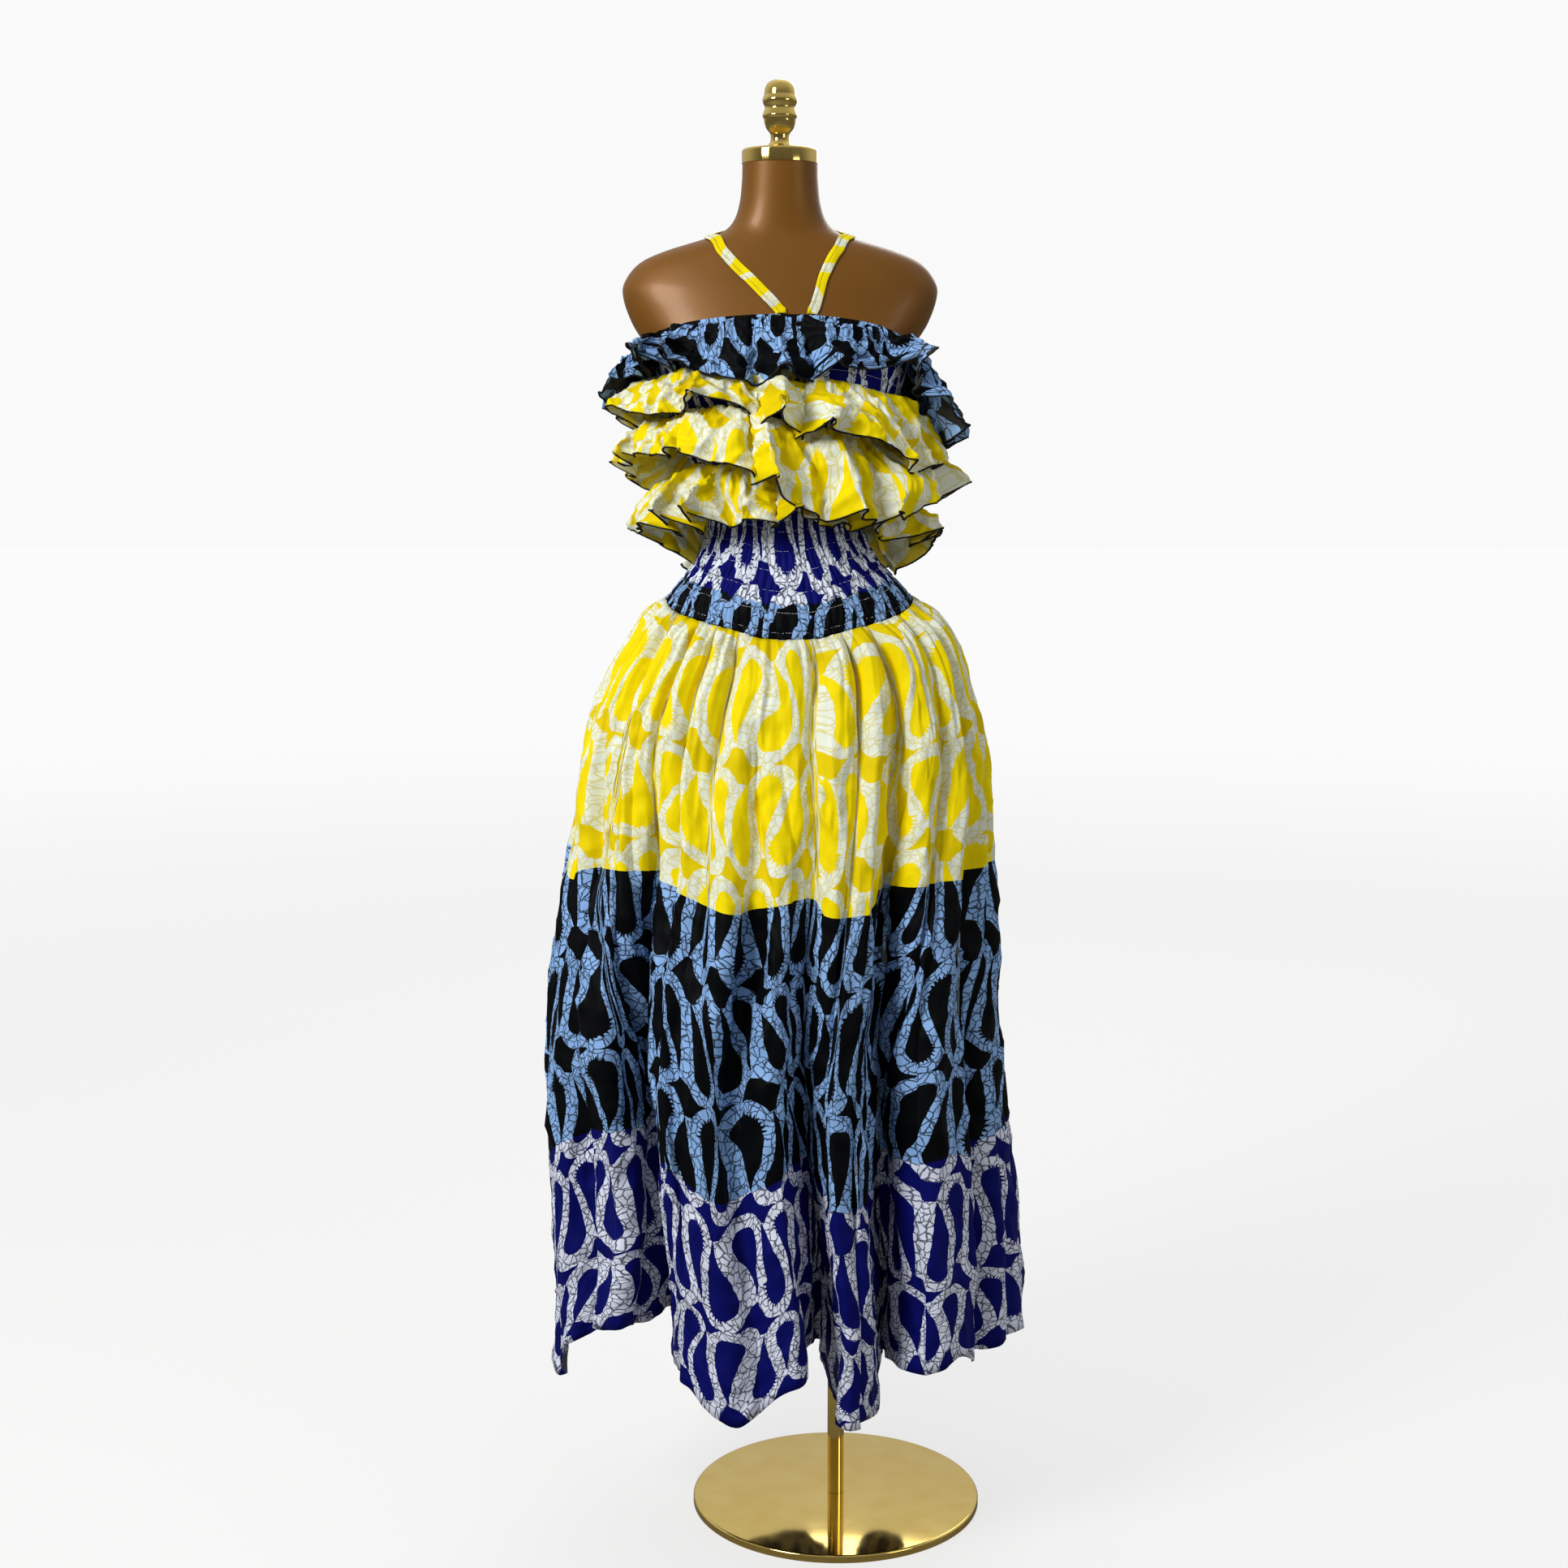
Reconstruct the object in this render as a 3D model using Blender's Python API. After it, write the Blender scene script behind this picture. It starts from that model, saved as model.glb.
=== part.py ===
"""Ruffled halter maxi dress on a limbless dress form with a pole and a round base.

Metres, +Z up. The origin is on the floor straight under the form's neck, the front faces -Y, and
+X is the viewer's right. Angles round the body are in degrees from the front, positive towards +X.
"""

import math

import bmesh
import bpy
from mathutils import Vector

# Clearances and walls
SEAM_GAP = 0.0003
SEWN_GAP = 0.0005
BODY_GAP = 0.0007
SMOCK_WALL = 0.0016
SKIRT_WALL = 0.0020
RUFFLE_WALL = 0.0012
STRAP_WALL = 0.0016
STRAP_WIDTH = 0.0135
STRAP_CLEARANCE = 0.0014

# Stand
BASE_RADIUS = 0.190
BASE_THICKNESS = 0.010
BASE_ROUNDING = 0.003
POLE_RADIUS = 0.011
POLE_X = 0.074
CAP_RADIUS = 0.0472
CAP_BOTTOM = 1.7390
CAP_HEIGHT = 0.0180
CAP_ROUNDING = 0.0035
FINIAL_HEIGHT = 0.0840

# Facets
FORM_SIDES = 48
TURNED_SIDES = 32
FINIAL_SIDES = 16
SMOCK_RIBS = 48
SKIRT_GATHERS = 64
RUFFLE_COLUMNS = 84

RIB_HEIGHT = 0.0016
SQUARENESS = 2.2

# Sections of the form, bottom to top.
FORM_COLUMNS = ("height", "half_width", "front", "back", "shift")
FORM_SECTIONS = (
    (0.980, 0.150, 0.098, 0.116, 0.012),
    (1.000, 0.161, 0.104, 0.124, 0.012),
    (1.060, 0.170, 0.109, 0.130, 0.012),
    (1.120, 0.171, 0.109, 0.128, 0.012),
    (1.170, 0.165, 0.106, 0.121, 0.012),
    (1.205, 0.150, 0.100, 0.110, 0.012),
    (1.230, 0.129, 0.093, 0.099, 0.011),
    (1.255, 0.109, 0.087, 0.089, 0.009),
    (1.280, 0.0965, 0.082, 0.081, 0.007),
    (1.305, 0.0915, 0.080, 0.078, 0.006),
    (1.335, 0.0960, 0.083, 0.079, 0.005),
    (1.370, 0.110, 0.093, 0.083, 0.004),
    (1.410, 0.129, 0.106, 0.088, 0.003),
    (1.450, 0.143, 0.110, 0.092, 0.002),
    (1.490, 0.155, 0.103, 0.094, 0.001),
    (1.514, 0.165, 0.094, 0.093, 0.000),
    (1.547, 0.185, 0.081, 0.089, 0.000),
    (1.584, 0.196, 0.070, 0.081, 0.000),
    (1.605, 0.188, 0.063, 0.074, 0.000),
    (1.622, 0.170, 0.057, 0.068, 0.000),
    (1.635, 0.139, 0.053, 0.063, 0.000),
    (1.645, 0.105, 0.050, 0.058, 0.000),
    (1.655, 0.0745, 0.048, 0.053, 0.000),
    (1.668, 0.0590, 0.047, 0.050, 0.000),
    (1.690, 0.0505, 0.0465, 0.048, 0.000),
    (1.720, 0.0470, 0.0465, 0.0465, 0.000),
    (CAP_BOTTOM - SEAM_GAP, 0.0465, 0.0465, 0.0465, 0.000),
)

# Heights of the smocked body's two edges round the form.
EDGE_COLUMNS = ("angle", "top", "seam")
BODY_EDGES = (
    (-180, 1.505, 1.192),
    (-135, 1.506, 1.199),
    (-90, 1.514, 1.2055),
    (-60, 1.530, 1.191),
    (-30, 1.546, 1.176),
    (0, 1.553, 1.159),
    (30, 1.545, 1.175),
    (60, 1.526, 1.191),
    (90, 1.510, 1.2055),
    (135, 1.505, 1.199),
)

# How far the skirt stands out from its seam, down its length.
SPREAD_COLUMNS = ("share_down", "side", "front", "back", "shift", "gather")
SKIRT_SPREAD = (
    (0.00, 0.000, 0.000, 0.000, 0.000, 0.0012),
    (0.02, 0.026, 0.013, 0.015, 0.003, 0.0034),
    (0.05, 0.047, 0.026, 0.029, 0.004, 0.0044),
    (0.10, 0.071, 0.043, 0.048, -0.001, 0.0042),
    (0.18, 0.095, 0.064, 0.070, -0.005, 0.0036),
    (0.28, 0.110, 0.084, 0.092, -0.006, 0.0028),
    (0.42, 0.129, 0.110, 0.116, -0.012, 0.0018),
    (0.58, 0.142, 0.131, 0.135, -0.018, 0.0010),
    (0.75, 0.146, 0.146, 0.146, -0.010, 0.0005),
    (0.90, 0.148, 0.156, 0.155, 0.001, 0.0000),
    (1.00, 0.155, 0.161, 0.160, 0.000, 0.0000),
)

# Deep folds of the skirt: each is a trough between two hanging folds.
FOLD_LEVELS = (0.08, 0.25, 0.50, 0.75, 1.00)
FOLD_COLUMNS = ("top_angle", "hem_angle", "half_width", "depths at FOLD_LEVELS")
SKIRT_FOLDS = (
    (-158, -163, 10.0, (0.002, 0.018, 0.050, 0.075, 0.090)),
    (-130, -134, 10.0, (0.000, 0.015, 0.045, 0.085, 0.110)),
    (-106, -109, 8.0, (0.000, 0.010, 0.035, 0.060, 0.075)),
    (-84, -86, 7.5, (0.000, 0.006, 0.022, 0.036, 0.042)),
    (-60, -57, 9.0, (0.000, 0.010, 0.030, 0.040, 0.045)),
    (-35, -31, 9.5, (0.000, 0.018, 0.070, 0.125, 0.165)),
    (-6, -7, 6.0, (0.004, 0.018, 0.034, 0.022, 0.000)),
    (8, 10.5, 6.0, (0.000, 0.008, 0.045, 0.105, 0.140)),
    (33, 26.0, 8.0, (0.006, 0.040, 0.085, 0.120, 0.145)),
    (61, 57, 8.0, (0.000, 0.012, 0.038, 0.042, 0.038)),
    (84, 82, 7.5, (0.000, 0.008, 0.024, 0.032, 0.034)),
    (108, 110, 9.0, (0.000, 0.012, 0.045, 0.075, 0.095)),
    (134, 137, 9.5, (0.000, 0.014, 0.045, 0.080, 0.105)),
    (163, 166, 10.0, (0.002, 0.018, 0.055, 0.090, 0.115)),
)

# Height of the hem above the floor.
HEM_COLUMNS = ("angle", "height")
HEM_HEIGHTS = (
    (-180, 0.236),
    (-163, 0.252),
    (-148, 0.214),
    (-134, 0.250),
    (-121, 0.216),
    (-109, 0.242),
    (-92, 0.206),
    (-78, 0.204),
    (-60, 0.264),
    (-46, 0.288),
    (-33, 0.300),
    (-23, 0.262),
    (-12, 0.208),
    (-4, 0.238),
    (3, 0.262),
    (10, 0.258),
    (15, 0.216),
    (18, 0.204),
    (22, 0.216),
    (28, 0.244),
    (42, 0.266),
    (52, 0.252),
    (65, 0.264),
    (78, 0.268),
    (90, 0.256),
    (110, 0.248),
    (123, 0.216),
    (137, 0.250),
    (151, 0.216),
    (166, 0.246),
)

# Ruffles, top to bottom: heights of the sewn edge and of the free edge, and how far that stands out.
RUFFLE_COLUMNS_READ = ("angle", "sewn", "free", "flare")
RUFFLE_TOP = (
    (-180, 1.499, 1.420, 0.048),
    (-135, 1.500, 1.430, 0.046),
    (-90, 1.508, 1.462, 0.038),
    (-60, 1.524, 1.478, 0.034),
    (-25, 1.543, 1.486, 0.030),
    (0, 1.547, 1.486, 0.030),
    (25, 1.541, 1.474, 0.032),
    (60, 1.520, 1.452, 0.044),
    (90, 1.504, 1.425, 0.056),
    (135, 1.499, 1.425, 0.054),
)
RUFFLE_UPPER = (
    (-180, 1.445, 1.365, 0.060),
    (-135, 1.448, 1.378, 0.056),
    (-90, 1.470, 1.425, 0.048),
    (-60, 1.482, 1.438, 0.046),
    (-25, 1.490, 1.452, 0.040),
    (0, 1.486, 1.425, 0.042),
    (25, 1.476, 1.405, 0.046),
    (60, 1.462, 1.385, 0.056),
    (90, 1.455, 1.385, 0.062),
    (135, 1.445, 1.362, 0.062),
)
RUFFLE_MIDDLE = (
    (-180, 1.392, 1.310, 0.070),
    (-135, 1.396, 1.320, 0.070),
    (-90, 1.418, 1.360, 0.070),
    (-60, 1.424, 1.388, 0.060),
    (-25, 1.436, 1.372, 0.052),
    (0, 1.420, 1.345, 0.053),
    (25, 1.408, 1.318, 0.056),
    (60, 1.398, 1.318, 0.070),
    (90, 1.396, 1.335, 0.092),
    (135, 1.392, 1.310, 0.076),
)
RUFFLE_LOWER = (
    (-180, 1.345, 1.240, 0.072),
    (-135, 1.347, 1.246, 0.074),
    (-90, 1.362, 1.286, 0.064),
    (-60, 1.368, 1.292, 0.056),
    (-25, 1.372, 1.302, 0.045),
    (0, 1.366, 1.302, 0.042),
    (25, 1.360, 1.304, 0.044),
    (60, 1.352, 1.288, 0.058),
    (90, 1.350, 1.268, 0.070),
    (135, 1.346, 1.243, 0.076),
)
RUFFLES = (
    # name, table, waves, phase, colour name
    ("ruffle_top", RUFFLE_TOP, 14, 0.4, "black_blue_print"),
    ("ruffle_upper", RUFFLE_UPPER, 14, 0.7, "yellow_print"),
    ("ruffle_middle", RUFFLE_MIDDLE, 14, 1.0, "yellow_print"),
    ("ruffle_lower", RUFFLE_LOWER, 14, 1.3, "yellow_print"),
)
WAVE_SHARE = 0.34
WAVE_LIFT = 0.006
WAVE_DRIFT = 0.5

# The halter strap's route over the form, from the bodice's top to the back of the neck.
STRAP_COLUMNS = ("angle", "height")
STRAP_ROUTE = (
    (1.5, 1.5545),
    (5.5, 1.576),
    (12.0, 1.602),
    (23.5, 1.628),
    (45.0, 1.6445),
    (90.0, 1.6520),
    (128.0, 1.6600),
    (158.0, 1.6670),
    (179.4, 1.6700),
)
STRAP_FEET = {-1: 2.0, 1: 8.6}
STRAP_ROWS = 22

# Finial profile as radius and share of its height, from the top down.
FINIAL_PROFILE = (
    (0.0000, 1.000),
    (0.0085, 0.983),
    (0.0150, 0.940),
    (0.0180, 0.880),
    (0.0192, 0.815),
    (0.0196, 0.770),
    (0.0210, 0.730),
    (0.0217, 0.695),
    (0.0210, 0.655),
    (0.0187, 0.590),
    (0.0206, 0.515),
    (0.0217, 0.470),
    (0.0205, 0.440),
    (0.0192, 0.370),
    (0.0170, 0.295),
    (0.0130, 0.235),
    (0.0118, 0.200),
    (0.0119, 0.110),
    (0.0140, 0.065),
    (0.0170, 0.020),
    (0.0172, 0.000),
)

# Base colour, roughness and metallic value of each finish.
FINISHES = {
    "bronze_paint": ((0.26, 0.13, 0.035, 1), 0.38, 0.35),
    "gold_plate": ((0.78, 0.60, 0.20, 1), 0.12, 1.0),
    "yellow_print": ((0.86, 0.74, 0.05, 1), 0.62, 0.0),
    "black_blue_print": ((0.10, 0.18, 0.33, 1), 0.62, 0.0),
    "blue_white_print": ((0.16, 0.18, 0.52, 1), 0.62, 0.0),
    "band_print": ((0.30, 0.33, 0.30, 1), 0.62, 0.0),
}


def clear_scene():
    for old in list(bpy.data.objects):
        bpy.data.objects.remove(old)


def material(name):
    made = bpy.data.materials.get(name)
    if made:
        return made
    colour, roughness, metallic = FINISHES[name]
    made = bpy.data.materials.new(name)
    made.use_nodes = True
    shader = made.node_tree.nodes["Principled BSDF"]
    shader.inputs["Base Color"].default_value = colour
    shader.inputs["Roughness"].default_value = roughness
    shader.inputs["Metallic"].default_value = metallic
    return made


def add_object(name, points, faces, finish):
    mesh = bpy.data.meshes.new(name)
    mesh.from_pydata([tuple(point) for point in points], [], faces)
    mesh.materials.append(material(finish))
    mesh.shade_smooth()
    made = bpy.data.objects.new(name, mesh)
    bpy.context.scene.collection.objects.link(made)
    return made


def read_table(table, key):
    """The other columns of a table at key, on a smooth curve through its rows."""
    last = len(table) - 1
    below = 0
    while below < last - 1 and table[below + 1][0] <= key:
        below += 1
    rows = [table[min(max(below + step, 0), last)] for step in (-1, 0, 1, 2)]
    k0, k1, k2, k3 = (row[0] for row in rows)
    span = k2 - k1
    share = min(max((key - k1) / span, 0.0), 1.0)
    values = []
    for p0, p1, p2, p3 in zip(*(row[1:] for row in rows)):
        slope_1 = (p2 - p0) / (k2 - k0)
        slope_2 = (p3 - p1) / (k3 - k1)
        values.append(
            p1 * (1 + 2 * share) * (1 - share) ** 2
            + p2 * share * share * (3 - 2 * share)
            + slope_1 * span * share * (1 - share) ** 2
            - slope_2 * span * share * share * (1 - share)
        )
    return values


def read_round(table, angle):
    """As read_table, for a table of angles that starts at -180 and closes on itself."""
    turned = (angle + 180) % 360 - 180
    before = (table[-1][0] - 360,) + table[-1][1:]
    after = [(row[0] + 360,) + row[1:] for row in table[:2]]
    return read_table((before,) + table + tuple(after), turned)


def smooth_step(value):
    share = min(max(value, 0.0), 1.0)
    return share * share * (3 - 2 * share)


def form_point(angle, height, out=0.0):
    """A point of the form's surface, or out from it."""
    half_width, front, back, shift = read_table(FORM_SECTIONS, height)
    turn = math.radians(angle)
    power = 2 / SQUARENESS
    across = math.copysign(abs(math.sin(turn)) ** power, math.sin(turn))
    ahead = math.copysign(abs(math.cos(turn)) ** power, math.cos(turn))
    depth = front if ahead > 0 else back
    return Vector((shift + (half_width + out) * across, -(depth + out) * ahead, height))


def ring_angles(count, start=-180.0):
    return [start + 360.0 * index / count for index in range(count)]


def wall_faces(rows, columns, closed):
    """Faces of a wall whose outer points come first and whose inner points follow, row by row."""
    inner = rows * columns
    steps = columns if closed else columns - 1
    faces = []
    for row in range(rows - 1):
        for column in range(steps):
            here = row * columns + column
            beside = row * columns + (column + 1) % columns
            faces.append((here, here + columns, beside + columns, beside))
            faces.append((inner + here, inner + beside, inner + beside + columns, inner + here + columns))
    for column in range(steps):
        beside = (column + 1) % columns
        foot = (rows - 1) * columns
        faces.append((column, beside, inner + beside, inner + column))
        faces.append((foot + column, inner + foot + column, inner + foot + beside, foot + beside))
    if not closed:
        for row in range(rows - 1):
            left = row * columns
            right = left + columns - 1
            faces.append((left, inner + left, inner + left + columns, left + columns))
            faces.append((right, right + columns, inner + right + columns, inner + right))
    return faces


def surface_normals(grid, closed):
    """Unit normals of a grid of rows that run down and columns that run to the viewer's right."""
    rows = len(grid)
    columns = len(grid[0])
    normals = []
    for row in range(rows):
        line = []
        for column in range(columns):
            if closed:
                left = grid[row][column - 1]
                right = grid[row][(column + 1) % columns]
            else:
                left = grid[row][max(column - 1, 0)]
                right = grid[row][min(column + 1, columns - 1)]
            above = grid[max(row - 1, 0)][column]
            below = grid[min(row + 1, rows - 1)][column]
            line.append((below - above).cross(right - left).normalized())
        normals.append(line)
    return normals


def wall_object(name, outer, inner, closed, finish):
    points = [point for line in outer for point in line]
    points += [point for line in inner for point in line]
    faces = wall_faces(len(outer), len(outer[0]), closed)
    return add_object(name, points, faces, finish)


def turned_object(name, profile, finish, centre_x=0.0, sides=TURNED_SIDES):
    """A round solid spun from (radius, height) pairs that run from its top to its bottom."""
    shape = bmesh.new()
    points = [shape.verts.new((radius, 0.0, height)) for radius, height in profile]
    edges = [shape.edges.new(pair) for pair in zip(points, points[1:])]
    bmesh.ops.spin(
        shape, geom=points + edges, cent=(0, 0, 0), axis=(0, 0, 1), angle=math.tau, steps=sides, use_merge=True
    )
    bmesh.ops.remove_doubles(shape, verts=shape.verts, dist=0.00001)
    bmesh.ops.recalc_face_normals(shape, faces=shape.faces)
    mesh = bpy.data.meshes.new(name)
    shape.to_mesh(mesh)
    shape.free()
    mesh.materials.append(material(finish))
    mesh.shade_smooth()
    mesh.set_sharp_from_angle(angle=math.radians(40))
    made = bpy.data.objects.new(name, mesh)
    made.location.x = centre_x
    bpy.context.scene.collection.objects.link(made)
    return made


def rounded_disc(radius, bottom, height, rounding):
    """Profile of a disc with a rounded upper edge."""
    steps = 3
    profile = [(0.0, bottom + height)]
    for step in range(steps + 1):
        turn = math.pi / 2 * step / steps
        reach = radius - rounding * (1 - math.sin(turn))
        profile.append((reach, bottom + height - rounding * (1 - math.cos(turn))))
    profile.append((radius, bottom))
    profile.append((0.0, bottom))
    return profile


def build_stand():
    """Round base, pole, neck cap and finial."""
    turned_object(
        "stand_base", rounded_disc(BASE_RADIUS, 0.0, BASE_THICKNESS, BASE_ROUNDING), "gold_plate", POLE_X
    )
    pole_top = FORM_SECTIONS[0][0] - SEAM_GAP
    pole_foot = BASE_THICKNESS + SEAM_GAP
    pole = ((0.0, pole_top), (POLE_RADIUS, pole_top), (POLE_RADIUS, pole_foot), (0.0, pole_foot))
    turned_object("stand_pole", pole, "gold_plate", POLE_X)
    turned_object("neck_cap", rounded_disc(CAP_RADIUS, CAP_BOTTOM, CAP_HEIGHT, CAP_ROUNDING), "gold_plate")
    foot = CAP_BOTTOM + CAP_HEIGHT + SEAM_GAP
    profile = [(radius, foot + share * FINIAL_HEIGHT) for radius, share in FINIAL_PROFILE]
    turned_object("neck_finial", profile + [(0.0, foot)], "gold_plate", 0.0, FINIAL_SIDES)


BODY_LEVELS = (0.0, 0.13, 0.26, 0.40, 0.53, 0.64, 0.74, 0.83, 0.92, 1.0)
HIP_SHARES = (0.0, 0.03, 0.10, 0.36, 0.68)
SHOULDER_SHARES = (0.3, 0.6, 1.0)
SHOULDER_HEIGHT = 1.598
NECK_HEIGHTS = (1.613, 1.625, 1.634, 1.642, 1.649, 1.657, 1.668, 1.684, 1.710)


def form_heights(angle):
    """Heights of the form's rows at an angle: they follow the smocked body's where it covers them."""
    lowest = FORM_SECTIONS[0][0]
    top, seam = read_round(BODY_EDGES, angle)
    heights = [lowest + (seam - lowest) * share for share in HIP_SHARES]
    heights += [top + (seam - top) * share for share in reversed(BODY_LEVELS)]
    heights += [top + (SHOULDER_HEIGHT - top) * share for share in SHOULDER_SHARES]
    return heights + list(NECK_HEIGHTS) + [FORM_SECTIONS[-1][0]]


def build_form():
    """The torso and neck as one closed, smooth solid."""
    columns = []
    for angle in ring_angles(FORM_SIDES):
        columns.append([form_point(angle, height) for height in form_heights(angle)])
    rows = len(columns[0])
    points = [columns[side][row] for row in range(rows) for side in range(FORM_SIDES)]
    faces = []
    for row in range(rows - 1):
        for side in range(FORM_SIDES):
            here = row * FORM_SIDES + side
            beside = row * FORM_SIDES + (side + 1) % FORM_SIDES
            faces.append((here, beside, beside + FORM_SIDES))
            faces.append((here, beside + FORM_SIDES, here + FORM_SIDES))
    faces.append(tuple(reversed(range(FORM_SIDES))))
    top = (rows - 1) * FORM_SIDES
    faces.append(tuple(range(top, top + FORM_SIDES)))
    add_object("form_torso", points, faces, "bronze_paint")


def body_point(angle, share, out):
    """A point off the form, share of the way down from the smocked body's top edge to its seam."""
    top, seam = read_round(BODY_EDGES, angle)
    return form_point(angle, top + (seam - top) * share, out)


def smocked_half(name, start):
    """Half of the smocked body: ribs outside, and inside the form's own facets moved out."""
    slit = math.degrees(SEAM_GAP / 2 / FORM_SECTIONS[9][1])
    rows = len(BODY_LEVELS)
    fine = SMOCK_RIBS + 1
    coarse = SMOCK_RIBS // 2 + 1
    points = []
    for share in BODY_LEVELS:
        rib = RIB_HEIGHT * smooth_step((share - 0.54) / 0.10)
        for column in range(fine):
            angle = start + slit + (180.0 - 2 * slit) * column / (fine - 1)
            raised = rib if column % 2 else 0.0
            points.append(body_point(angle, share, BODY_GAP + SMOCK_WALL + raised))
    inner = len(points)
    for share in BODY_LEVELS:
        for column in range(coarse):
            angle = start + slit + (180.0 - 2 * slit) * column / (coarse - 1)
            points.append(body_point(angle, share, BODY_GAP))
    faces = []
    for row in range(rows - 1):
        for column in range(fine - 1):
            here = row * fine + column
            faces.append((here, here + fine, here + fine + 1, here + 1))
        for column in range(coarse - 1):
            here = inner + row * coarse + column
            faces.append((here + coarse, here + 1, here + coarse + 1))
            faces.append((here + coarse, here, here + 1))
    for row, turned in ((0, False), (rows - 1, True)):
        for column in range(coarse - 1):
            out = row * fine + 2 * column
            into = inner + row * coarse + column
            for face in ((out, out + 1, into), (out + 1, into + 1, into), (out + 1, out + 2, into + 1)):
                faces.append(tuple(reversed(face)) if turned else face)
    for row in range(rows - 1):
        out = row * fine
        into = inner + row * coarse
        faces.append((out, into, into + coarse, out + fine))
        out += fine - 1
        into += coarse - 1
        faces.append((out, out + fine, into + coarse, into))
    add_object(name, points, faces, "blue_white_print")


def build_smocked_body():
    """Front and back of the elasticated body, parted at the sides."""
    smocked_half("smocked_front", -90.0)
    smocked_half("smocked_back", 90.0)


def over_body(angle, height, out):
    """A point a stated way off the smocked body's outside, between the rows of its facets."""
    top, seam = read_round(BODY_EDGES, angle)
    share = min(max((height - top) / (seam - top), 0.0), 0.9999)
    row = max(index for index, level in enumerate(BODY_LEVELS) if level <= share)
    part = (share - BODY_LEVELS[row]) / (BODY_LEVELS[row + 1] - BODY_LEVELS[row])
    upper = body_point(angle, BODY_LEVELS[row], BODY_GAP + SMOCK_WALL + out)
    lower = body_point(angle, BODY_LEVELS[row + 1], BODY_GAP + SMOCK_WALL + out)
    return upper.lerp(lower, part)


def fold_depth(angle, share):
    """How deep the skirt's troughs are at an angle and a share of its length."""
    depth = 0.0
    for top_angle, hem_angle, half_width, depths in SKIRT_FOLDS:
        centre = top_angle + (hem_angle - top_angle) * share
        away = abs((angle - centre + 180) % 360 - 180) / half_width
        if away < 1:
            level = read_table(tuple(zip(FOLD_LEVELS, depths)), max(share, FOLD_LEVELS[0]))[0]
            depth += max(level, 0.0) * math.cos(math.pi / 2 * away) ** 2 * smooth_step(share / FOLD_LEVELS[0])
    return depth


def skirt_seam_point(angle):
    """Where the skirt starts, just under the smocked body's lower edge."""
    seam = read_round(BODY_EDGES, angle)[1]
    start = form_point(angle, seam, BODY_GAP + SKIRT_WALL + 0.0030)
    start.z = seam - SEAM_GAP
    return start


def skirt_point(angle, share, ruck=0.0):
    """A point of the skirt's outside. ruck is -1 in the bottom of a gather and 1 on its top."""
    start = skirt_seam_point(angle)
    side, front, back, shift, gather = read_table(SKIRT_SPREAD, share)
    turn = math.radians(angle)
    ahead = math.cos(turn)
    depth = front if ahead > 0 else back
    inward = Vector((-math.sin(turn) ** 3, ahead**3, 0)).normalized()
    spread = Vector((shift + side * math.sin(turn), -depth * ahead, 0))
    outward = Vector((math.sin(turn), -ahead, 0))
    hem = read_round(HEM_HEIGHTS, angle)[0]
    place = start + spread + inward * fold_depth(angle, share) + outward * gather * ruck
    place.z = start.z + (hem - start.z) * share
    return place


def hem_angles():
    """Angles that part the hem into equal lengths of cloth, one for each column, from -180."""
    fine = 1440
    trail = [skirt_point(-180 + 360 * index / fine, 1.0) for index in range(fine + 1)]
    length = [0.0]
    for one, other in zip(trail, trail[1:]):
        length.append(length[-1] + (other - one).length)
    found = []
    index = 0
    columns = 2 * SKIRT_GATHERS
    for column in range(columns):
        wanted = length[-1] * column / columns
        while length[index + 1] < wanted:
            index += 1
        part = (wanted - length[index]) / (length[index + 1] - length[index])
        found.append(-180 + 360 * (index + part) / fine)
    return found


SKIRT_LEVELS = (0.0, 0.02, 0.06, 0.12, 0.21, 0.33, 0.47, 0.64, 0.82, 1.0)


def build_skirt():
    """Front and back of the gathered skirt, which meet at two side seams."""
    at_hem = hem_angles()
    columns = len(at_hem)
    at_top = ring_angles(columns)
    ring = []
    for share in SKIRT_LEVELS:
        settle = smooth_step(share / 0.7)
        ring.append(
            [
                skirt_point(at_top[column] * (1 - settle) + at_hem[column] * settle, share, 1.0 if column % 2 else -1.0)
                for column in range(columns)
            ]
        )
    normals = surface_normals(ring, True)
    for name, first in (("skirt_front", columns // 4), ("skirt_back", 3 * columns // 4)):
        outer = []
        inner = []
        for line, normal_line in zip(ring, normals):
            picked = [(first + step) % columns for step in range(columns // 2 + 1)]
            outside = [line[column].copy() for column in picked]
            inside = [line[column] - normal_line[column] * SKIRT_WALL for column in picked]
            for end, beside in ((0, 1), (-1, -2)):
                slit = (outside[beside] - outside[end]).normalized() * SEAM_GAP * 0.6
                outside[end] = outside[end] + slit
                inside[end] = inside[end] + slit
            outer.append(outside)
            inner.append(inside)
        wall_object(name, outer, inner, False, "band_print")


RUFFLE_LEVELS = (0.0, 0.45, 1.0)


def ruffle_point(table, waves, phase, angle, share):
    """A point of a ruffle's outside, share of the way from its sewn edge to its free edge."""
    sewn, free, flare = read_round(table, angle)
    turn = math.radians(angle)
    swing = math.cos(waves * turn + phase + WAVE_DRIFT * math.sin(3 * turn + phase))
    height = sewn + (free - sewn) * share
    sewn_on = over_body(angle, sewn, SEWN_GAP + RUFFLE_WALL)
    beneath = over_body(angle, height, SEWN_GAP + RUFFLE_WALL)
    start = beneath if beneath.xy.length > sewn_on.xy.length else sewn_on
    out = flare * share**0.85 * (1 + WAVE_SHARE * swing)
    place = start + Vector((math.sin(turn), -math.cos(turn), 0)) * out
    place.z = height + WAVE_LIFT * swing * share
    return place


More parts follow.
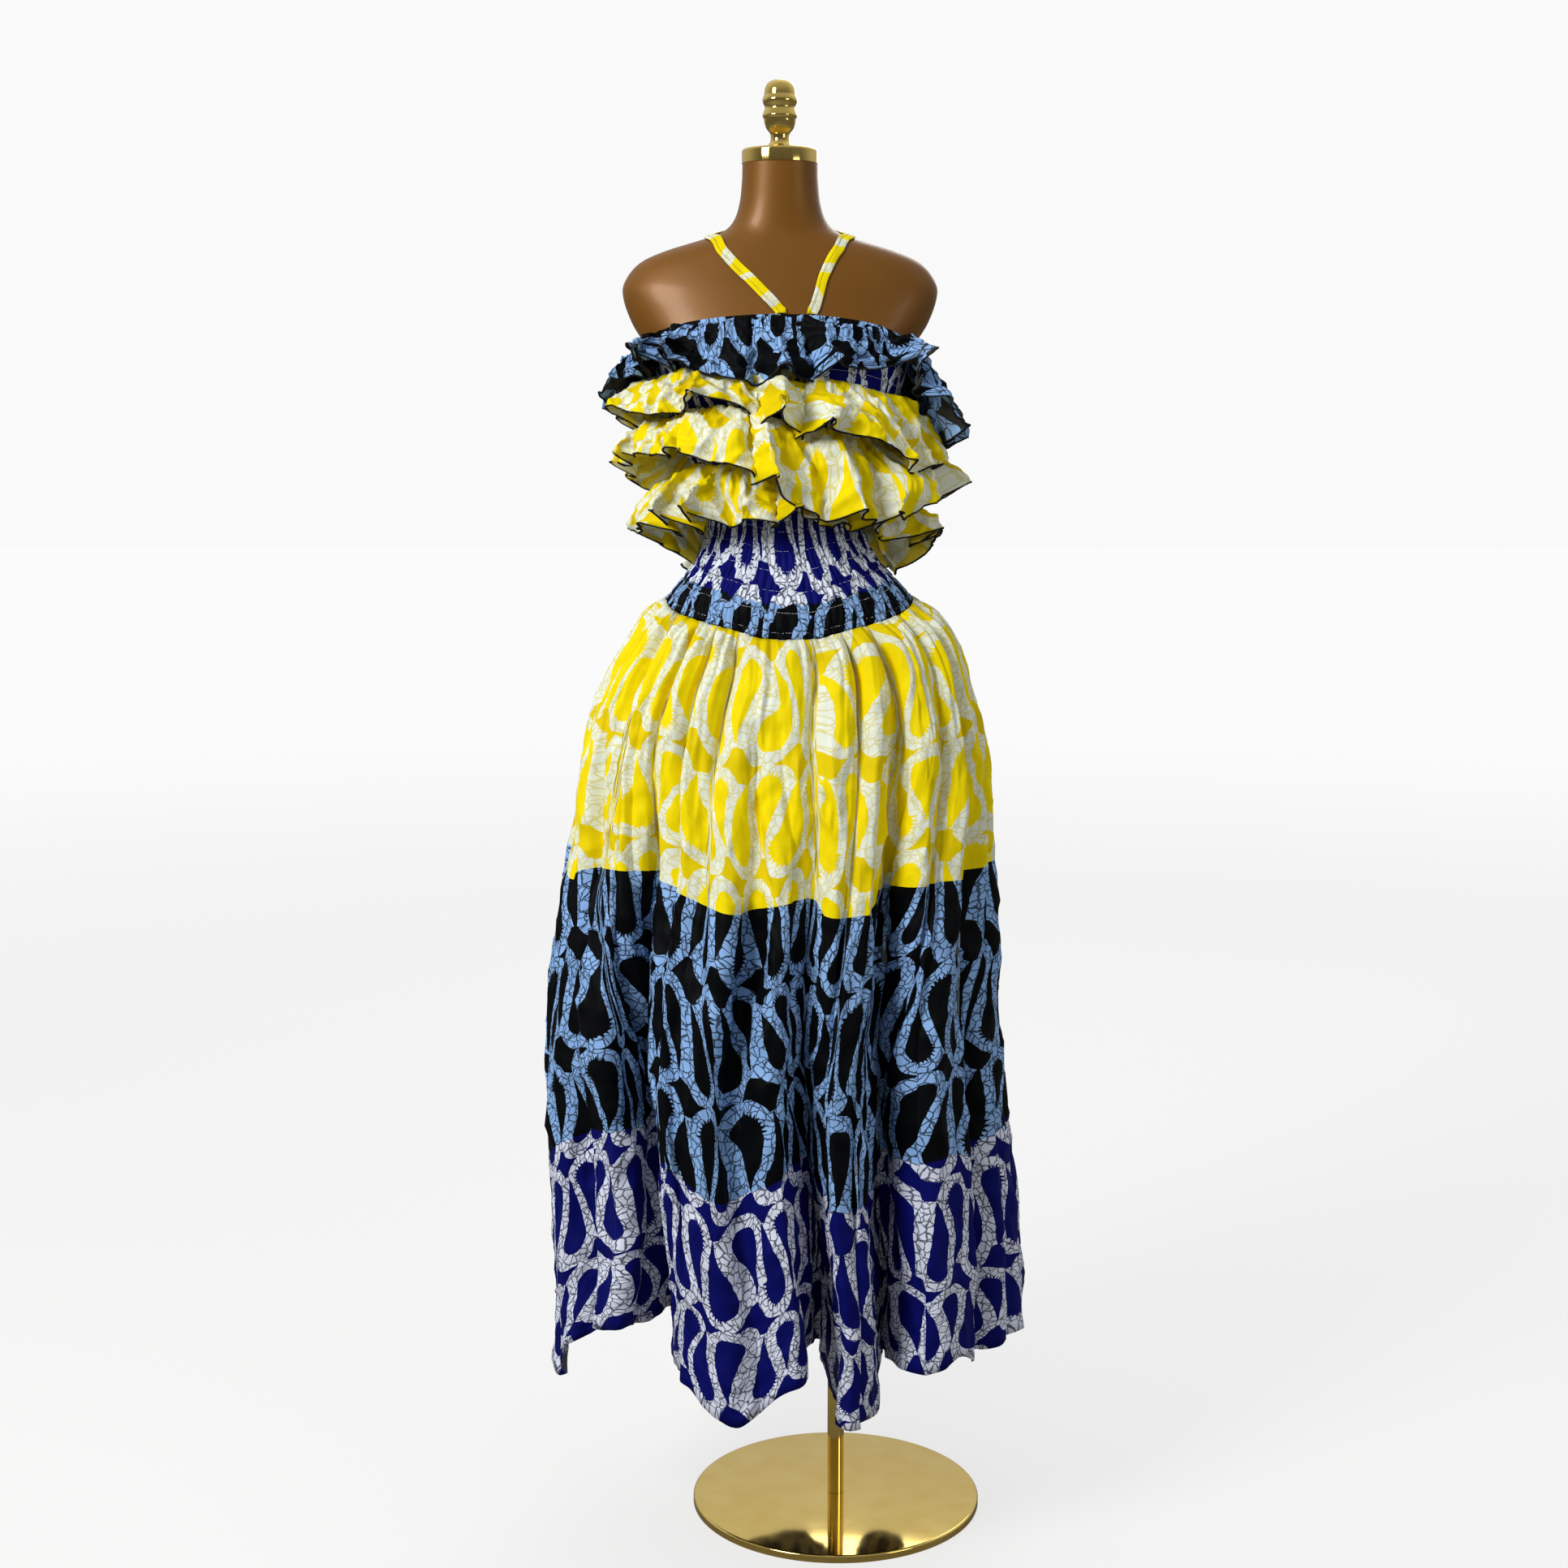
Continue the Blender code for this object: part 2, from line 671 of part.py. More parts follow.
def build_ruffles():
    """Four gathered ruffles round the bodice, each sewn on along its upper edge."""
    for name, table, waves, phase, finish in RUFFLES:
        outer = [
            [ruffle_point(table, waves, phase, angle, share) for angle in ring_angles(RUFFLE_COLUMNS)]
            for share in RUFFLE_LEVELS
        ]
        normals = surface_normals(outer, True)
        inner = [
            [point - normal * RUFFLE_WALL for point, normal in zip(line, normal_line)]
            for line, normal_line in zip(outer, normals)
        ]
        inner[0] = [over_body(angle, point.z, SEWN_GAP) for angle, point in zip(ring_angles(RUFFLE_COLUMNS), outer[0])]
        wall_object(name, outer, inner, True, finish)


def strap_row(side, row, rows):
    """Three points across a strap's outside, and the form's normal there."""
    angle, height = rows[row]
    fade = smooth_step(1 - row / (STRAP_ROWS * 0.4))
    turned = side * angle + STRAP_FEET[side] * fade
    after = rows[min(row + 1, STRAP_ROWS - 1)]
    before = rows[max(row - 1, 0)]
    along = form_point(side * after[0], after[1]) - form_point(side * before[0], before[1])
    centre = form_point(turned, height)
    step_round = form_point(turned + 1, height) - centre
    step_up = form_point(turned, height + 0.001) - centre
    normal = step_round.cross(step_up).normalized()
    across = normal.cross(along).normalized() * (STRAP_WIDTH / 2)
    twist = step_round.cross(step_up).dot(normal)
    swing = across.cross(step_up).dot(normal) / twist
    rise = 0.001 * step_round.cross(across).dot(normal) / twist
    line = [[turned + swing * part, height + rise * part] for part in (-1, 0, 1)]
    return line, normal


def build_straps():
    """Two halter straps from the middle of the bodice's top, joined behind the neck."""
    indexed = tuple((index,) + point for index, point in enumerate(STRAP_ROUTE))
    rows = [read_table(indexed, (len(STRAP_ROUTE) - 1) * row / (STRAP_ROWS - 1)) for row in range(STRAP_ROWS)]
    for name, side in (("strap_left", -1), ("strap_right", 1)):
        outer = []
        inner = []
        for row in range(STRAP_ROWS):
            line, normal = strap_row(side, row, rows)
            if row == 0:
                for place in line:
                    place[1] = read_round(BODY_EDGES, place[0])[0] + 2 * SEAM_GAP
            if row == STRAP_ROWS - 1:
                for place in line:
                    place[0] = side * (180 - math.degrees(SEAM_GAP / 2 / FORM_SECTIONS[-4][2]))
            outer.append([form_point(*place) + normal * (STRAP_CLEARANCE + STRAP_WALL) for place in line])
            inner.append([form_point(*place) + normal * STRAP_CLEARANCE for place in line])
        wall_object(name, outer, inner, False, "yellow_print")


clear_scene()
build_stand()
build_form()
build_smocked_body()
build_skirt()
build_ruffles()
build_straps()
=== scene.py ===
# Ruffled halter maxi dress in wax-printed cotton on a limbless dress form with a gold stand.
# Metres, +Z up, the front faces -Y. Angles round the body are degrees from the front, positive to +X.
import math

import bmesh
import bpy
import numpy as np
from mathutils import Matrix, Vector


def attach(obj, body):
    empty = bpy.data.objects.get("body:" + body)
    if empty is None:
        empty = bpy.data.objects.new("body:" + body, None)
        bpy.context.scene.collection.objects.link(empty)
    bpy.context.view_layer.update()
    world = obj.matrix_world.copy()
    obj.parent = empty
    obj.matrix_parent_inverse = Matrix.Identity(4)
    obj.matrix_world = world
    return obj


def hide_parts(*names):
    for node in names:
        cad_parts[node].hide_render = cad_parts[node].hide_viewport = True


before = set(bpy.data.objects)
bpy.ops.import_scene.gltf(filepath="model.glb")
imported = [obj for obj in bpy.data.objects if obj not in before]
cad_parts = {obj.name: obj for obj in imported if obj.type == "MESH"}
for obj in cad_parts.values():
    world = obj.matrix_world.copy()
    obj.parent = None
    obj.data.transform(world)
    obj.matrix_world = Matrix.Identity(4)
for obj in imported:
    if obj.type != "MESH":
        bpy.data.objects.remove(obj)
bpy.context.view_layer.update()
print("frame loaded:", len(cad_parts), "nodes")


def colour(text):  # sRGB hex to linear
    parts = [int(text[place : place + 2], 16) / 255 for place in (1, 3, 5)]
    return [part / 12.92 if part <= 0.04045 else ((part + 0.055) / 1.055) ** 2.4 for part in parts] + [1.0]


def setInputs(node, links):  # links: socket to a value or another node's socket
    for key, value in links.items():
        socket = node.inputs[key]
        if isinstance(value, bpy.types.NodeSocket):
            node.id_data.links.new(value, socket)
        else:
            socket.default_value = value


def addNode(tree, kind, settings=None, links=None):
    node = tree.nodes.new(kind)
    for name, value in (settings or {}).items():
        setattr(node, name, value)
    setInputs(node, links or {})
    return node


def newMaterial(name):
    made = bpy.data.materials.new(name)
    made.use_nodes = True
    return made, made.node_tree, made.node_tree.nodes["Principled BSDF"]


def addObject(name, mesh, finish=None, sharpFrom=None):  # smooth, but sharp from an angle in degrees
    if finish:
        mesh.materials.append(finish)
    mesh.shade_smooth()
    if sharpFrom:
        mesh.set_sharp_from_angle(angle=math.radians(sharpFrom))
    made = bpy.data.objects.new(name, mesh)
    bpy.context.scene.collection.objects.link(made)
    return made


def readCurve(rows, keys):  # smooth curve through the rows
    table = np.array(rows, dtype=float)
    x, y = table[:, 0], table[:, 1:]
    slope = np.empty_like(y)
    slope[1:-1] = (y[2:] - y[:-2]) / (x[2:] - x[:-2])[:, None]
    slope[0] = (y[1] - y[0]) / (x[1] - x[0])
    slope[-1] = (y[-1] - y[-2]) / (x[-1] - x[-2])
    keys = np.clip(np.asarray(keys, dtype=float), x[0], x[-1])
    at = np.clip(np.searchsorted(x, keys, side="right") - 1, 0, len(x) - 2)
    span = x[at + 1] - x[at]
    share = ((keys - x[at]) / span)[..., None]
    span = span[..., None]
    return (
        y[at] * (1 + 2 * share) * (1 - share) ** 2
        + y[at + 1] * share**2 * (3 - 2 * share)
        + slope[at] * span * share * (1 - share) ** 2
        - slope[at + 1] * span * share**2 * (1 - share)
    )


def readRound(rows, angles):  # the same for rows that go once round, by angle
    before = [(row[0] - 360,) + tuple(row[1:]) for row in rows[-2:]]
    after = [(row[0] + 360,) + tuple(row[1:]) for row in rows[:2]]
    return readCurve(before + list(rows) + after, (np.asarray(angles) + 180) % 360 - 180)


def easeIn(value):  # from 0 to 1, level at both ends
    share = np.clip(value, 0.0, 1.0)
    return share * share * (3 - 2 * share)


def cloud(x, y, seed, wrap=None):  # smooth noise from -1 to 1, which may repeat along x
    cellX, cellY = np.floor(x), np.floor(y)
    partX, partY = x - cellX, y - cellY
    total = 0.0
    # each corner's slope comes from a scrambled sine of its place and the seed
    for stepX in (0, 1):
        for stepY in (0, 1):
            hereX = cellX + stepX
            if wrap:
                hereX = hereX % wrap
            mixed = np.sin(hereX * 127.1 + (cellY + stepY) * 311.7 + seed * 74.7) * 43758.5453
            turn = (mixed - np.floor(mixed)) * math.tau
            slope = np.cos(turn) * (partX - stepX) + np.sin(turn) * (partY - stepY)
            fadeX = easeIn(partX) if stepX else 1 - easeIn(partX)
            fadeY = easeIn(partY) if stepY else 1 - easeIn(partY)
            total = total + slope * fadeX * fadeY
    return total * 1.5


def creases(x, y, seed, wrap=None):  # sharp lines where the noise crosses zero
    return 0.33 - np.abs(cloud(x, y, seed, wrap)) ** 0.8


def gridNormals(grid, closed):  # rows run down, columns run to +X at the front
    down = np.gradient(grid, axis=0)
    if closed:
        across = np.roll(grid, -1, 1) - np.roll(grid, 1, 1)
    else:
        across = np.gradient(grid, axis=1)
    normal = np.cross(down, across)
    return normal / np.maximum(np.linalg.norm(normal, axis=-1, keepdims=True), 1e-12)


def wallObject(name, outer, flat, thickness, closed, finish, normals=None):  # a closed cloth wall
    if normals is None:
        normals = gridNormals(outer, closed)
    inner = outer - normals * thickness
    rows, columns = outer.shape[:2]
    steps = columns if closed else columns - 1
    row, column = np.meshgrid(np.arange(rows - 1), np.arange(steps), indexing="ij")
    here = (row * columns + column).ravel()
    beside = (row * columns + (column + 1) % columns).ravel()
    shift = rows * columns
    sheets = [
        np.stack([here, here + columns, beside + columns, beside], 1),
        np.stack([here, beside, beside + columns, here + columns], 1) + shift,
    ]
    edge = np.arange(steps)
    nextEdge = (edge + 1) % columns
    foot = (rows - 1) * columns
    sheets.append(np.stack([edge, nextEdge, nextEdge + shift, edge + shift], 1))
    sheets.append(np.stack([foot + edge, foot + edge + shift, foot + nextEdge + shift, foot + nextEdge], 1))
    if not closed:
        left = np.arange(rows - 1) * columns
        right = left + columns - 1
        sheets.append(np.stack([left, left + shift, left + shift + columns, left + columns], 1))
        sheets.append(np.stack([right, right + columns, right + shift + columns, right + shift], 1))
    faces = np.concatenate(sheets)
    points = np.concatenate([outer.reshape(-1, 3), inner.reshape(-1, 3)])
    mesh = bpy.data.meshes.new(name)
    mesh.from_pydata(points.tolist(), [], faces.tolist())
    place = np.concatenate([flat.reshape(-1, 2), flat.reshape(-1, 2)])[faces]
    if closed:  # the last column's faces reach to the cloth's full width
        width = 2 * flat[0, -1, 0] - flat[0, -2, 0]
        wraps = place[..., 0].max(1) - place[..., 0].min(1) > width / 2
        low = place[..., 0] < width / 2
        place[..., 0] = np.where(wraps[:, None] & low, place[..., 0] + width, place[..., 0])
    layer = mesh.uv_layers.new(name="cloth")
    layer.data.foreach_set("uv", place.ravel().astype(np.float32))
    wrong = mesh.attributes.new("wrongSide", "FLOAT", "POINT")
    wrong.data.foreach_set("value", np.repeat(np.float32([0, 1]), shift))
    return addObject(name, mesh, finish)


# Print: a light ribbon winds between rows of drops. Sizes in metres on the flat cloth.
printed = {
    "rowPitch": 0.141,
    "rowShift": 0.0263,
    "halfStep": 0.0425,
    "roundRadius": 0.0200,
    "sizeRange": 0.0044,
    "tipRadius": 0.0004,
    "roundAt": 0.0345,
    "tipAt": 0.0470,
    "ribbon": 0.0180,
    "lean": 0.10,
    "toothLength": 0.0115,
    "toothStep": 0.0049,
    "toothedShare": 0.62,
    "toothedEnd": 0.4,  # of the round end's radius
    "toothedSide": -0.0016,
    "slide": 0.16,  # of half a step
    "wander": (0.056, 0.030),
    "wanderScale": 8.0,
    "jitter": 0.0040,
    "jitterScale": 60.0,
    "crackNets": ((0.0112, 0.0), (0.02352, 3.7)),  # cell size, offset
    "crackLine": 0.00078,
    "crackBend": 0.009,
}
# Each band: drops, gaps between rows, ribbon, crackle lines
yellowDye = ("#F2DA02", "#E4CA03", "#E6EADB", "#DAD38C")
blackDye = ("#050608", "#050608", "#8DB4E6", "#0B0E16")
navyDye = ("#080D5E", "#080D5E", "#DFE3F2", "#0F1240")
paleNavyDye = ("#070B66", "#070B66", "#EAF0FC", "#0F1240")


# U runs round the cloth and V down it. Distances to a drop are those to a round cone.
def windingPrint(tree, flat, rowStart):
    part = printed
    moved = flat
    for scale, detail, reach in (
        (part["wanderScale"], 0.0, (*part["wander"], 0.0)),
        (part["jitterScale"], 3.0, (part["jitter"], part["jitter"], 0.0)),
    ):
        look = {"Vector": flat, "Scale": scale, "Detail": detail}
        source = addNode(tree, "ShaderNodeTexNoise", {"noise_dimensions": "2D"}, look)
        halved = {0: source.outputs["Color"], 1: (0.5, 0.5, 0.5)}
        centred = addNode(tree, "ShaderNodeVectorMath", {"operation": "SUBTRACT"}, halved)
        further = {0: centred.outputs[0], 1: reach, 2: moved}
        moved = addNode(tree, "ShaderNodeVectorMath", {"operation": "MULTIPLY_ADD"}, further).outputs[0]
    axes = addNode(tree, "ShaderNodeSeparateXYZ", links={0: moved})
    known = {"u": axes.outputs[0], "v": axes.outputs[1], "rough": source.outputs["Fac"]}
    half, radius = part["halfStep"], part["roundRadius"]
    length = part["roundAt"] + part["tipAt"]
    slope = (radius - part["tipRadius"]) / length
    cosine = math.sqrt(1 - slope * slope)
    # Math nodes: name, operation, then numbers or earlier names
    shared = (
        ("fromStart", "SUBTRACT", "v", rowStart),
        ("rowPlace", "DIVIDE", "fromStart", part["rowPitch"]),
        ("row", "FLOOR", "rowPlace"),
        ("rowPart", "FRACT", "rowPlace"),
        ("rowMiddle", "SUBTRACT", "rowPart", 0.5),
        ("up", "MULTIPLY", "rowMiddle", part["rowPitch"]),
        ("slid", "MULTIPLY_ADD", "row", part["rowShift"], "u"),
        ("cellPlace", "DIVIDE", "slid", half),
        ("ownCell", "ROUND", "cellPlace"),
        ("cellPart", "SUBTRACT", "cellPlace", "ownCell"),
        ("along", "MULTIPLY", "cellPart", half),
        ("odd", "PINGPONG", "ownCell", 1.0),
        ("ownTurn", "MULTIPLY_ADD", "odd", -2.0, 1.0),
        ("onRight", "GREATER_THAN", "along", 0.0),
        ("nextSide", "MULTIPLY_ADD", "onRight", 2.0, -1.0),
        ("nextCell", "ADD", "ownCell", "nextSide"),
        ("nextTurn", "MULTIPLY", "ownTurn", -1.0),
    )
    drop = (
        ("shift", "MULTIPLY_ADD", "dice1", part["slide"] * half, -part["slide"] * half / 2),
        ("centreX", "MULTIPLY_ADD", "side", half, "shift"),
        ("fromCentre", "SUBTRACT", "along", "centreX"),
        ("lean", "MULTIPLY_ADD", "dice2", part["lean"], -part["lean"] / 2),
        ("across", "MULTIPLY_ADD", "lean", "up", "fromCentre"),
        ("x", "ABSOLUTE", "across"),
        ("y", "MULTIPLY_ADD", "up", "turn", part["roundAt"]),
        ("xLean", "MULTIPLY", "x", -slope),
        ("towardsTip", "MULTIPLY_ADD", "y", cosine, "xLean"),
        ("yLean", "MULTIPLY", "y", slope),
        ("flank", "MULTIPLY_ADD", "x", cosine, "yLean"),
        ("xSquare", "MULTIPLY", "x", "x"),
        ("square", "MULTIPLY_ADD", "y", "y", "xSquare"),
        ("centre", "SQRT", "square"),
        ("above", "GREATER_THAN", "towardsTip", 0.0),
        ("change", "SUBTRACT", "flank", "centre"),
        ("cone", "MULTIPLY_ADD", "change", "above", "centre"),
        ("size", "MULTIPLY_ADD", "dice3", part["sizeRange"], radius - part["sizeRange"] / 2),
        ("distance", "SUBTRACT", "cone", "size"),
        ("beyond", "SUBTRACT", "towardsTip", cosine * length),
        # pointed teeth on the round end, round it or down one side
        ("angle", "ARCTAN2", "across", "y"),
        ("spot", "MULTIPLY", "angle", radius / part["toothStep"]),
        ("spotPart", "FRACT", "spot"),
        ("fromMiddle", "SUBTRACT", "spotPart", 0.5),
        ("fromTooth", "ABSOLUTE", "fromMiddle"),
        ("point", "MULTIPLY_ADD", "fromTooth", -3.0, 1.0),
        ("tooth", "MAXIMUM", "point", 0.0),
        ("lowEnd", "LESS_THAN", "y", radius * part["toothedEnd"]),
        ("chosen", "LESS_THAN", "dice2", part["toothedShare"]),
        ("sideChoice", "SUBTRACT", "dice1", 0.5),
        ("onSide", "MULTIPLY", "across", "sideChoice"),
        ("thisSide", "GREATER_THAN", "onSide", part["toothedSide"]),
        ("toothed1", "MULTIPLY", "lowEnd", "chosen"),
        ("toothed2", "MULTIPLY", "toothed1", "thisSide"),
        ("toothed3", "MULTIPLY", "toothed2", "rough"),
        ("toothed4", "MULTIPLY", "toothed3", "tooth"),
        ("reach", "MULTIPLY_ADD", "toothed4", -part["toothLength"], "distance"),
        ("drop", "MAXIMUM", "reach", "beyond"),
        ("outside", "SUBTRACT", "distance", part["ribbon"]),
        ("band", "MAXIMUM", "outside", "beyond"),
    )
    for name, operation, *given in shared:
        links = {at: known.get(it, it) for at, it in enumerate(given)}
        known[name] = addNode(tree, "ShaderNodeMath", {"operation": operation}, links).outputs[0]
    found = []
    for cell, turn, side in (("ownCell", "ownTurn", 0.0), ("nextCell", "nextTurn", "nextSide")):
        key = addNode(tree, "ShaderNodeCombineXYZ", links={0: known[cell], 1: known["row"]})
        dice = addNode(tree, "ShaderNodeTexWhiteNoise", {"noise_dimensions": "2D"}, {"Vector": key.outputs[0]})
        dice = addNode(tree, "ShaderNodeSeparateColor", links={0: dice.outputs["Color"]})
        local = dict(known, turn=known[turn], side=known.get(side, side))
        local.update({"dice%d" % (at + 1): dice.outputs[at] for at in range(3)})
        for name, operation, *given in drop:
            links = {at: local.get(it, it) for at, it in enumerate(given)}
            local[name] = addNode(tree, "ShaderNodeMath", {"operation": operation}, links).outputs[0]
        found.append((local["drop"], local["band"]))
    picked = []
    for first, second in zip(*found):
        nearer = addNode(tree, "ShaderNodeMath", {"operation": "MINIMUM"}, {0: first, 1: second})
        inside = addNode(tree, "ShaderNodeMath", {"operation": "LESS_THAN"}, {0: nearer.outputs[0], 1: 0.0})
        picked.append(inside.outputs[0])
    bend = {0: source.outputs["Color"], 1: (part["crackBend"],) * 3, 2: flat}
    bent = addNode(tree, "ShaderNodeVectorMath", {"operation": "MULTIPLY_ADD"}, bend)
    cracks = []
    for size, offset in part["crackNets"]:
        slid = addNode(tree, "ShaderNodeVectorMath", {"operation": "ADD"}, {0: bent.outputs[0], 1: (offset, offset, 0)})
        kind = {"voronoi_dimensions": "2D", "feature": "DISTANCE_TO_EDGE"}
        net = addNode(tree, "ShaderNodeTexVoronoi", kind, {"Vector": slid.outputs[0], "Scale": 1 / size})
        thin = {0: net.outputs["Distance"], 1: part["crackLine"] / size}
        cracks.append(addNode(tree, "ShaderNodeMath", {"operation": "LESS_THAN"}, thin).outputs[0])
    crack = addNode(tree, "ShaderNodeMath", {"operation": "MAXIMUM"}, {0: cracks[0], 1: cracks[1]})
    return picked[0], picked[1], crack.outputs[0]


# Waxed cotton, roller printed and calendered: crisp and smooth with a faint sheen, the dye a little uneven
cotton = {
    "crackInk": 0.85,
    "uneven": (42.0, 0.26, 0.87),  # scale, range, lowest level
    "wrongSideTint": "#D9D9D0",
    "edgeThread": "#101013",
    "weave": (640.0, 0.3, 0.0002),  # scale, strength, depth
    "rumple": (24.0, 0.7, 0.0080),
    "roughness": 0.60,
    "specular": 0.06,
}


def waxedCotton(name, bands, rowStart, edgeAt=None, wrongSide=0.22):
    made, tree, shader = newMaterial(name)
    flat = addNode(tree, "ShaderNodeUVMap", {"uv_map": "cloth"}).outputs[0]
    down = addNode(tree, "ShaderNodeSeparateXYZ", links={0: flat}).outputs[1]
    inDrop, inBand, crack = windingPrint(tree, flat, rowStart)
    dyes = [colour(tint) for tint in bands[0][1:]]
    for start, *tints in bands[1:]:
        past = addNode(tree, "ShaderNodeMath", {"operation": "GREATER_THAN"}, {0: down, 1: start}).outputs[0]
        dyes = [
            addNode(tree, "ShaderNodeMix", {"data_type": "RGBA"}, {0: past, 6: before, 7: colour(after)}).outputs[2]
            for before, after in zip(dyes, tints)
        ]
    dropDye, gapDye, ribbonDye, crackDye = dyes
    lined = addNode(tree, "ShaderNodeMath", {"operation": "MULTIPLY"}, {0: crack, 1: cotton["crackInk"]})
    marked = addNode(tree, "ShaderNodeMix", {"data_type": "RGBA"}, {0: lined.outputs[0], 6: ribbonDye, 7: crackDye})
    ribboned = addNode(tree, "ShaderNodeMix", {"data_type": "RGBA"}, {0: inBand, 6: gapDye, 7: marked.outputs[2]})
    dyed = addNode(tree, "ShaderNodeMix", {"data_type": "RGBA"}, {0: inDrop, 6: ribboned.outputs[2], 7: dropDye})
    scale, spread, lowest = cotton["uneven"]
    look = {"Vector": flat, "Scale": scale, "Detail": 4.0}
    uneven = addNode(tree, "ShaderNodeTexNoise", {"noise_dimensions": "2D"}, look)
    span = {0: uneven.outputs["Fac"], 1: spread, 2: lowest}
    level = addNode(tree, "ShaderNodeMath", {"operation": "MULTIPLY_ADD"}, span).outputs[0]
    toned = addNode(tree, "ShaderNodeVectorMath", {"operation": "SCALE"}, {0: dyed.outputs[2], "Scale": level})
    # the inner side is mixed a little toward a pale grey; the print itself is the same on both sides
    wrong = addNode(tree, "ShaderNodeAttribute", {"attribute_name": "wrongSide"})
    paler = addNode(tree, "ShaderNodeMath", {"operation": "MULTIPLY"}, {0: wrong.outputs["Fac"], 1: wrongSide})
    mixed = {0: paler.outputs[0], 6: toned.outputs[0], 7: colour(cotton["wrongSideTint"])}
    tinted = addNode(tree, "ShaderNodeMix", {"data_type": "RGBA"}, mixed).outputs[2]
    if edgeAt:  # black thread over the cut edge
        past = addNode(tree, "ShaderNodeMath", {"operation": "GREATER_THAN"}, {0: down, 1: edgeAt})
        mixed = {0: past.outputs[0], 6: tinted, 7: colour(cotton["edgeThread"])}
        tinted = addNode(tree, "ShaderNodeMix", {"data_type": "RGBA"}, mixed).outputs[2]
    # Plain weave has 0.3 mm threads, too fine to show, so its relief is drawn at 1.5 mm
    surface = None
    for (scale, strength, depth), detail, kind in (
        (cotton["rumple"], 3.0, {"noise_type": "RIDGED_MULTIFRACTAL"}),
        (cotton["weave"], 1.0, {}),
    ):
        look = {"Vector": flat, "Scale": scale, "Detail": detail}
        if kind:
            look["Lacunarity"] = 2.2
        relief = addNode(tree, "ShaderNodeTexNoise", {"noise_dimensions": "2D", **kind}, look)
        bump = {"Strength": strength, "Distance": depth, "Height": relief.outputs["Fac"]}
        if surface:
            bump["Normal"] = surface
        surface = addNode(tree, "ShaderNodeBump", {}, bump).outputs[0]
    setInputs(shader, {"Base Color": tinted, "Normal": surface, "Roughness": cotton["roughness"]})
    setInputs(shader, {"Specular IOR Level": cotton["specular"]})
    return made


# Form's shell: moulded glass fibre, sprayed with satin bronze lacquer that holds fine flake
lacquer = {"darkest": "#6E4307", "lightest": "#845611", "flake": 900.0, "cloudy": 7.0, "roughness": (0.10, 0.40)}


def bronzeLacquer():
    made, tree, shader = newMaterial("bronzeLacquer")
    place = addNode(tree, "ShaderNodeTexCoord").outputs["Object"]
    flake = addNode(tree, "ShaderNodeTexNoise", {}, {"Vector": place, "Scale": lacquer["flake"], "Detail": 1.0})
    cloudy = addNode(tree, "ShaderNodeTexNoise", {}, {"Vector": place, "Scale": lacquer["cloudy"], "Detail": 3.0})
    both = {0: flake.outputs["Fac"], 1: 0.4, 2: cloudy.outputs["Fac"]}
    both = addNode(tree, "ShaderNodeMath", {"operation": "MULTIPLY_ADD"}, both)
    amount = addNode(tree, "ShaderNodeMath", {"operation": "SUBTRACT"}, {0: both.outputs[0], 1: 0.2})
    tints = {0: amount.outputs[0], 6: colour(lacquer["darkest"]), 7: colour(lacquer["lightest"])}
    tint = addNode(tree, "ShaderNodeMix", {"data_type": "RGBA"}, tints)
    spread, lowest = lacquer["roughness"]
    span = {0: cloudy.outputs["Fac"], 1: spread, 2: lowest}
    rough = addNode(tree, "ShaderNodeMath", {"operation": "MULTIPLY_ADD"}, span)
    relief = addNode(tree, "ShaderNodeBump", {}, {"Strength": 0.10, "Distance": 0.0003, "Height": flake.outputs["Fac"]})
    setInputs(shader, {"Base Color": tint.outputs[2], "Roughness": rough.outputs[0], "Normal": relief.outputs[0]})
    setInputs(shader, {"Metallic": 0.20, "Specular IOR Level": 0.32, "Coat Weight": 0.08, "Coat Roughness": 0.15})
    return made


# Stand, cap and finial: turned steel, polished and plated in pale gold, mirror-like with faint wiping haze
plating = {"darkest": "#D9B555", "lightest": "#E8CC7C", "wiped": 26.0, "roughness": (0.08, 0.03)}


def platedGold():
    made, tree, shader = newMaterial("platedGold")
    place = addNode(tree, "ShaderNodeTexCoord").outputs["Object"]
    wiped = addNode(tree, "ShaderNodeTexNoise", {}, {"Vector": place, "Scale": plating["wiped"], "Detail": 4.0})
    tints = {0: wiped.outputs["Fac"], 6: colour(plating["darkest"]), 7: colour(plating["lightest"])}
    tint = addNode(tree, "ShaderNodeMix", {"data_type": "RGBA"}, tints)
    spread, lowest = plating["roughness"]
    span = {0: wiped.outputs["Fac"], 1: spread, 2: lowest}
    rough = addNode(tree, "ShaderNodeMath", {"operation": "MULTIPLY_ADD"}, span)
    setInputs(shader, {"Base Color": tint.outputs[2], "Roughness": rough.outputs[0], "Metallic": 1.0})
    return made


# Spun polyester sewing thread: matt and slightly fuzzy
def sewingThread(name, tint):
    made, tree, shader = newMaterial(name)
    place = addNode(tree, "ShaderNodeTexCoord").outputs["Object"]
    twist = addNode(tree, "ShaderNodeTexNoise", {}, {"Vector": place, "Scale": 700.0})
    level = addNode(tree, "ShaderNodeMath", {"operation": "MULTIPLY_ADD"}, {0: twist.outputs["Fac"], 1: 0.5, 2: 0.75})
    shade = {0: colour(tint)[:3], "Scale": level.outputs[0]}
    toned = addNode(tree, "ShaderNodeVectorMath", {"operation": "SCALE"}, shade)
    setInputs(shader, {"Base Color": toned.outputs[0], "Roughness": 0.8})
    return made


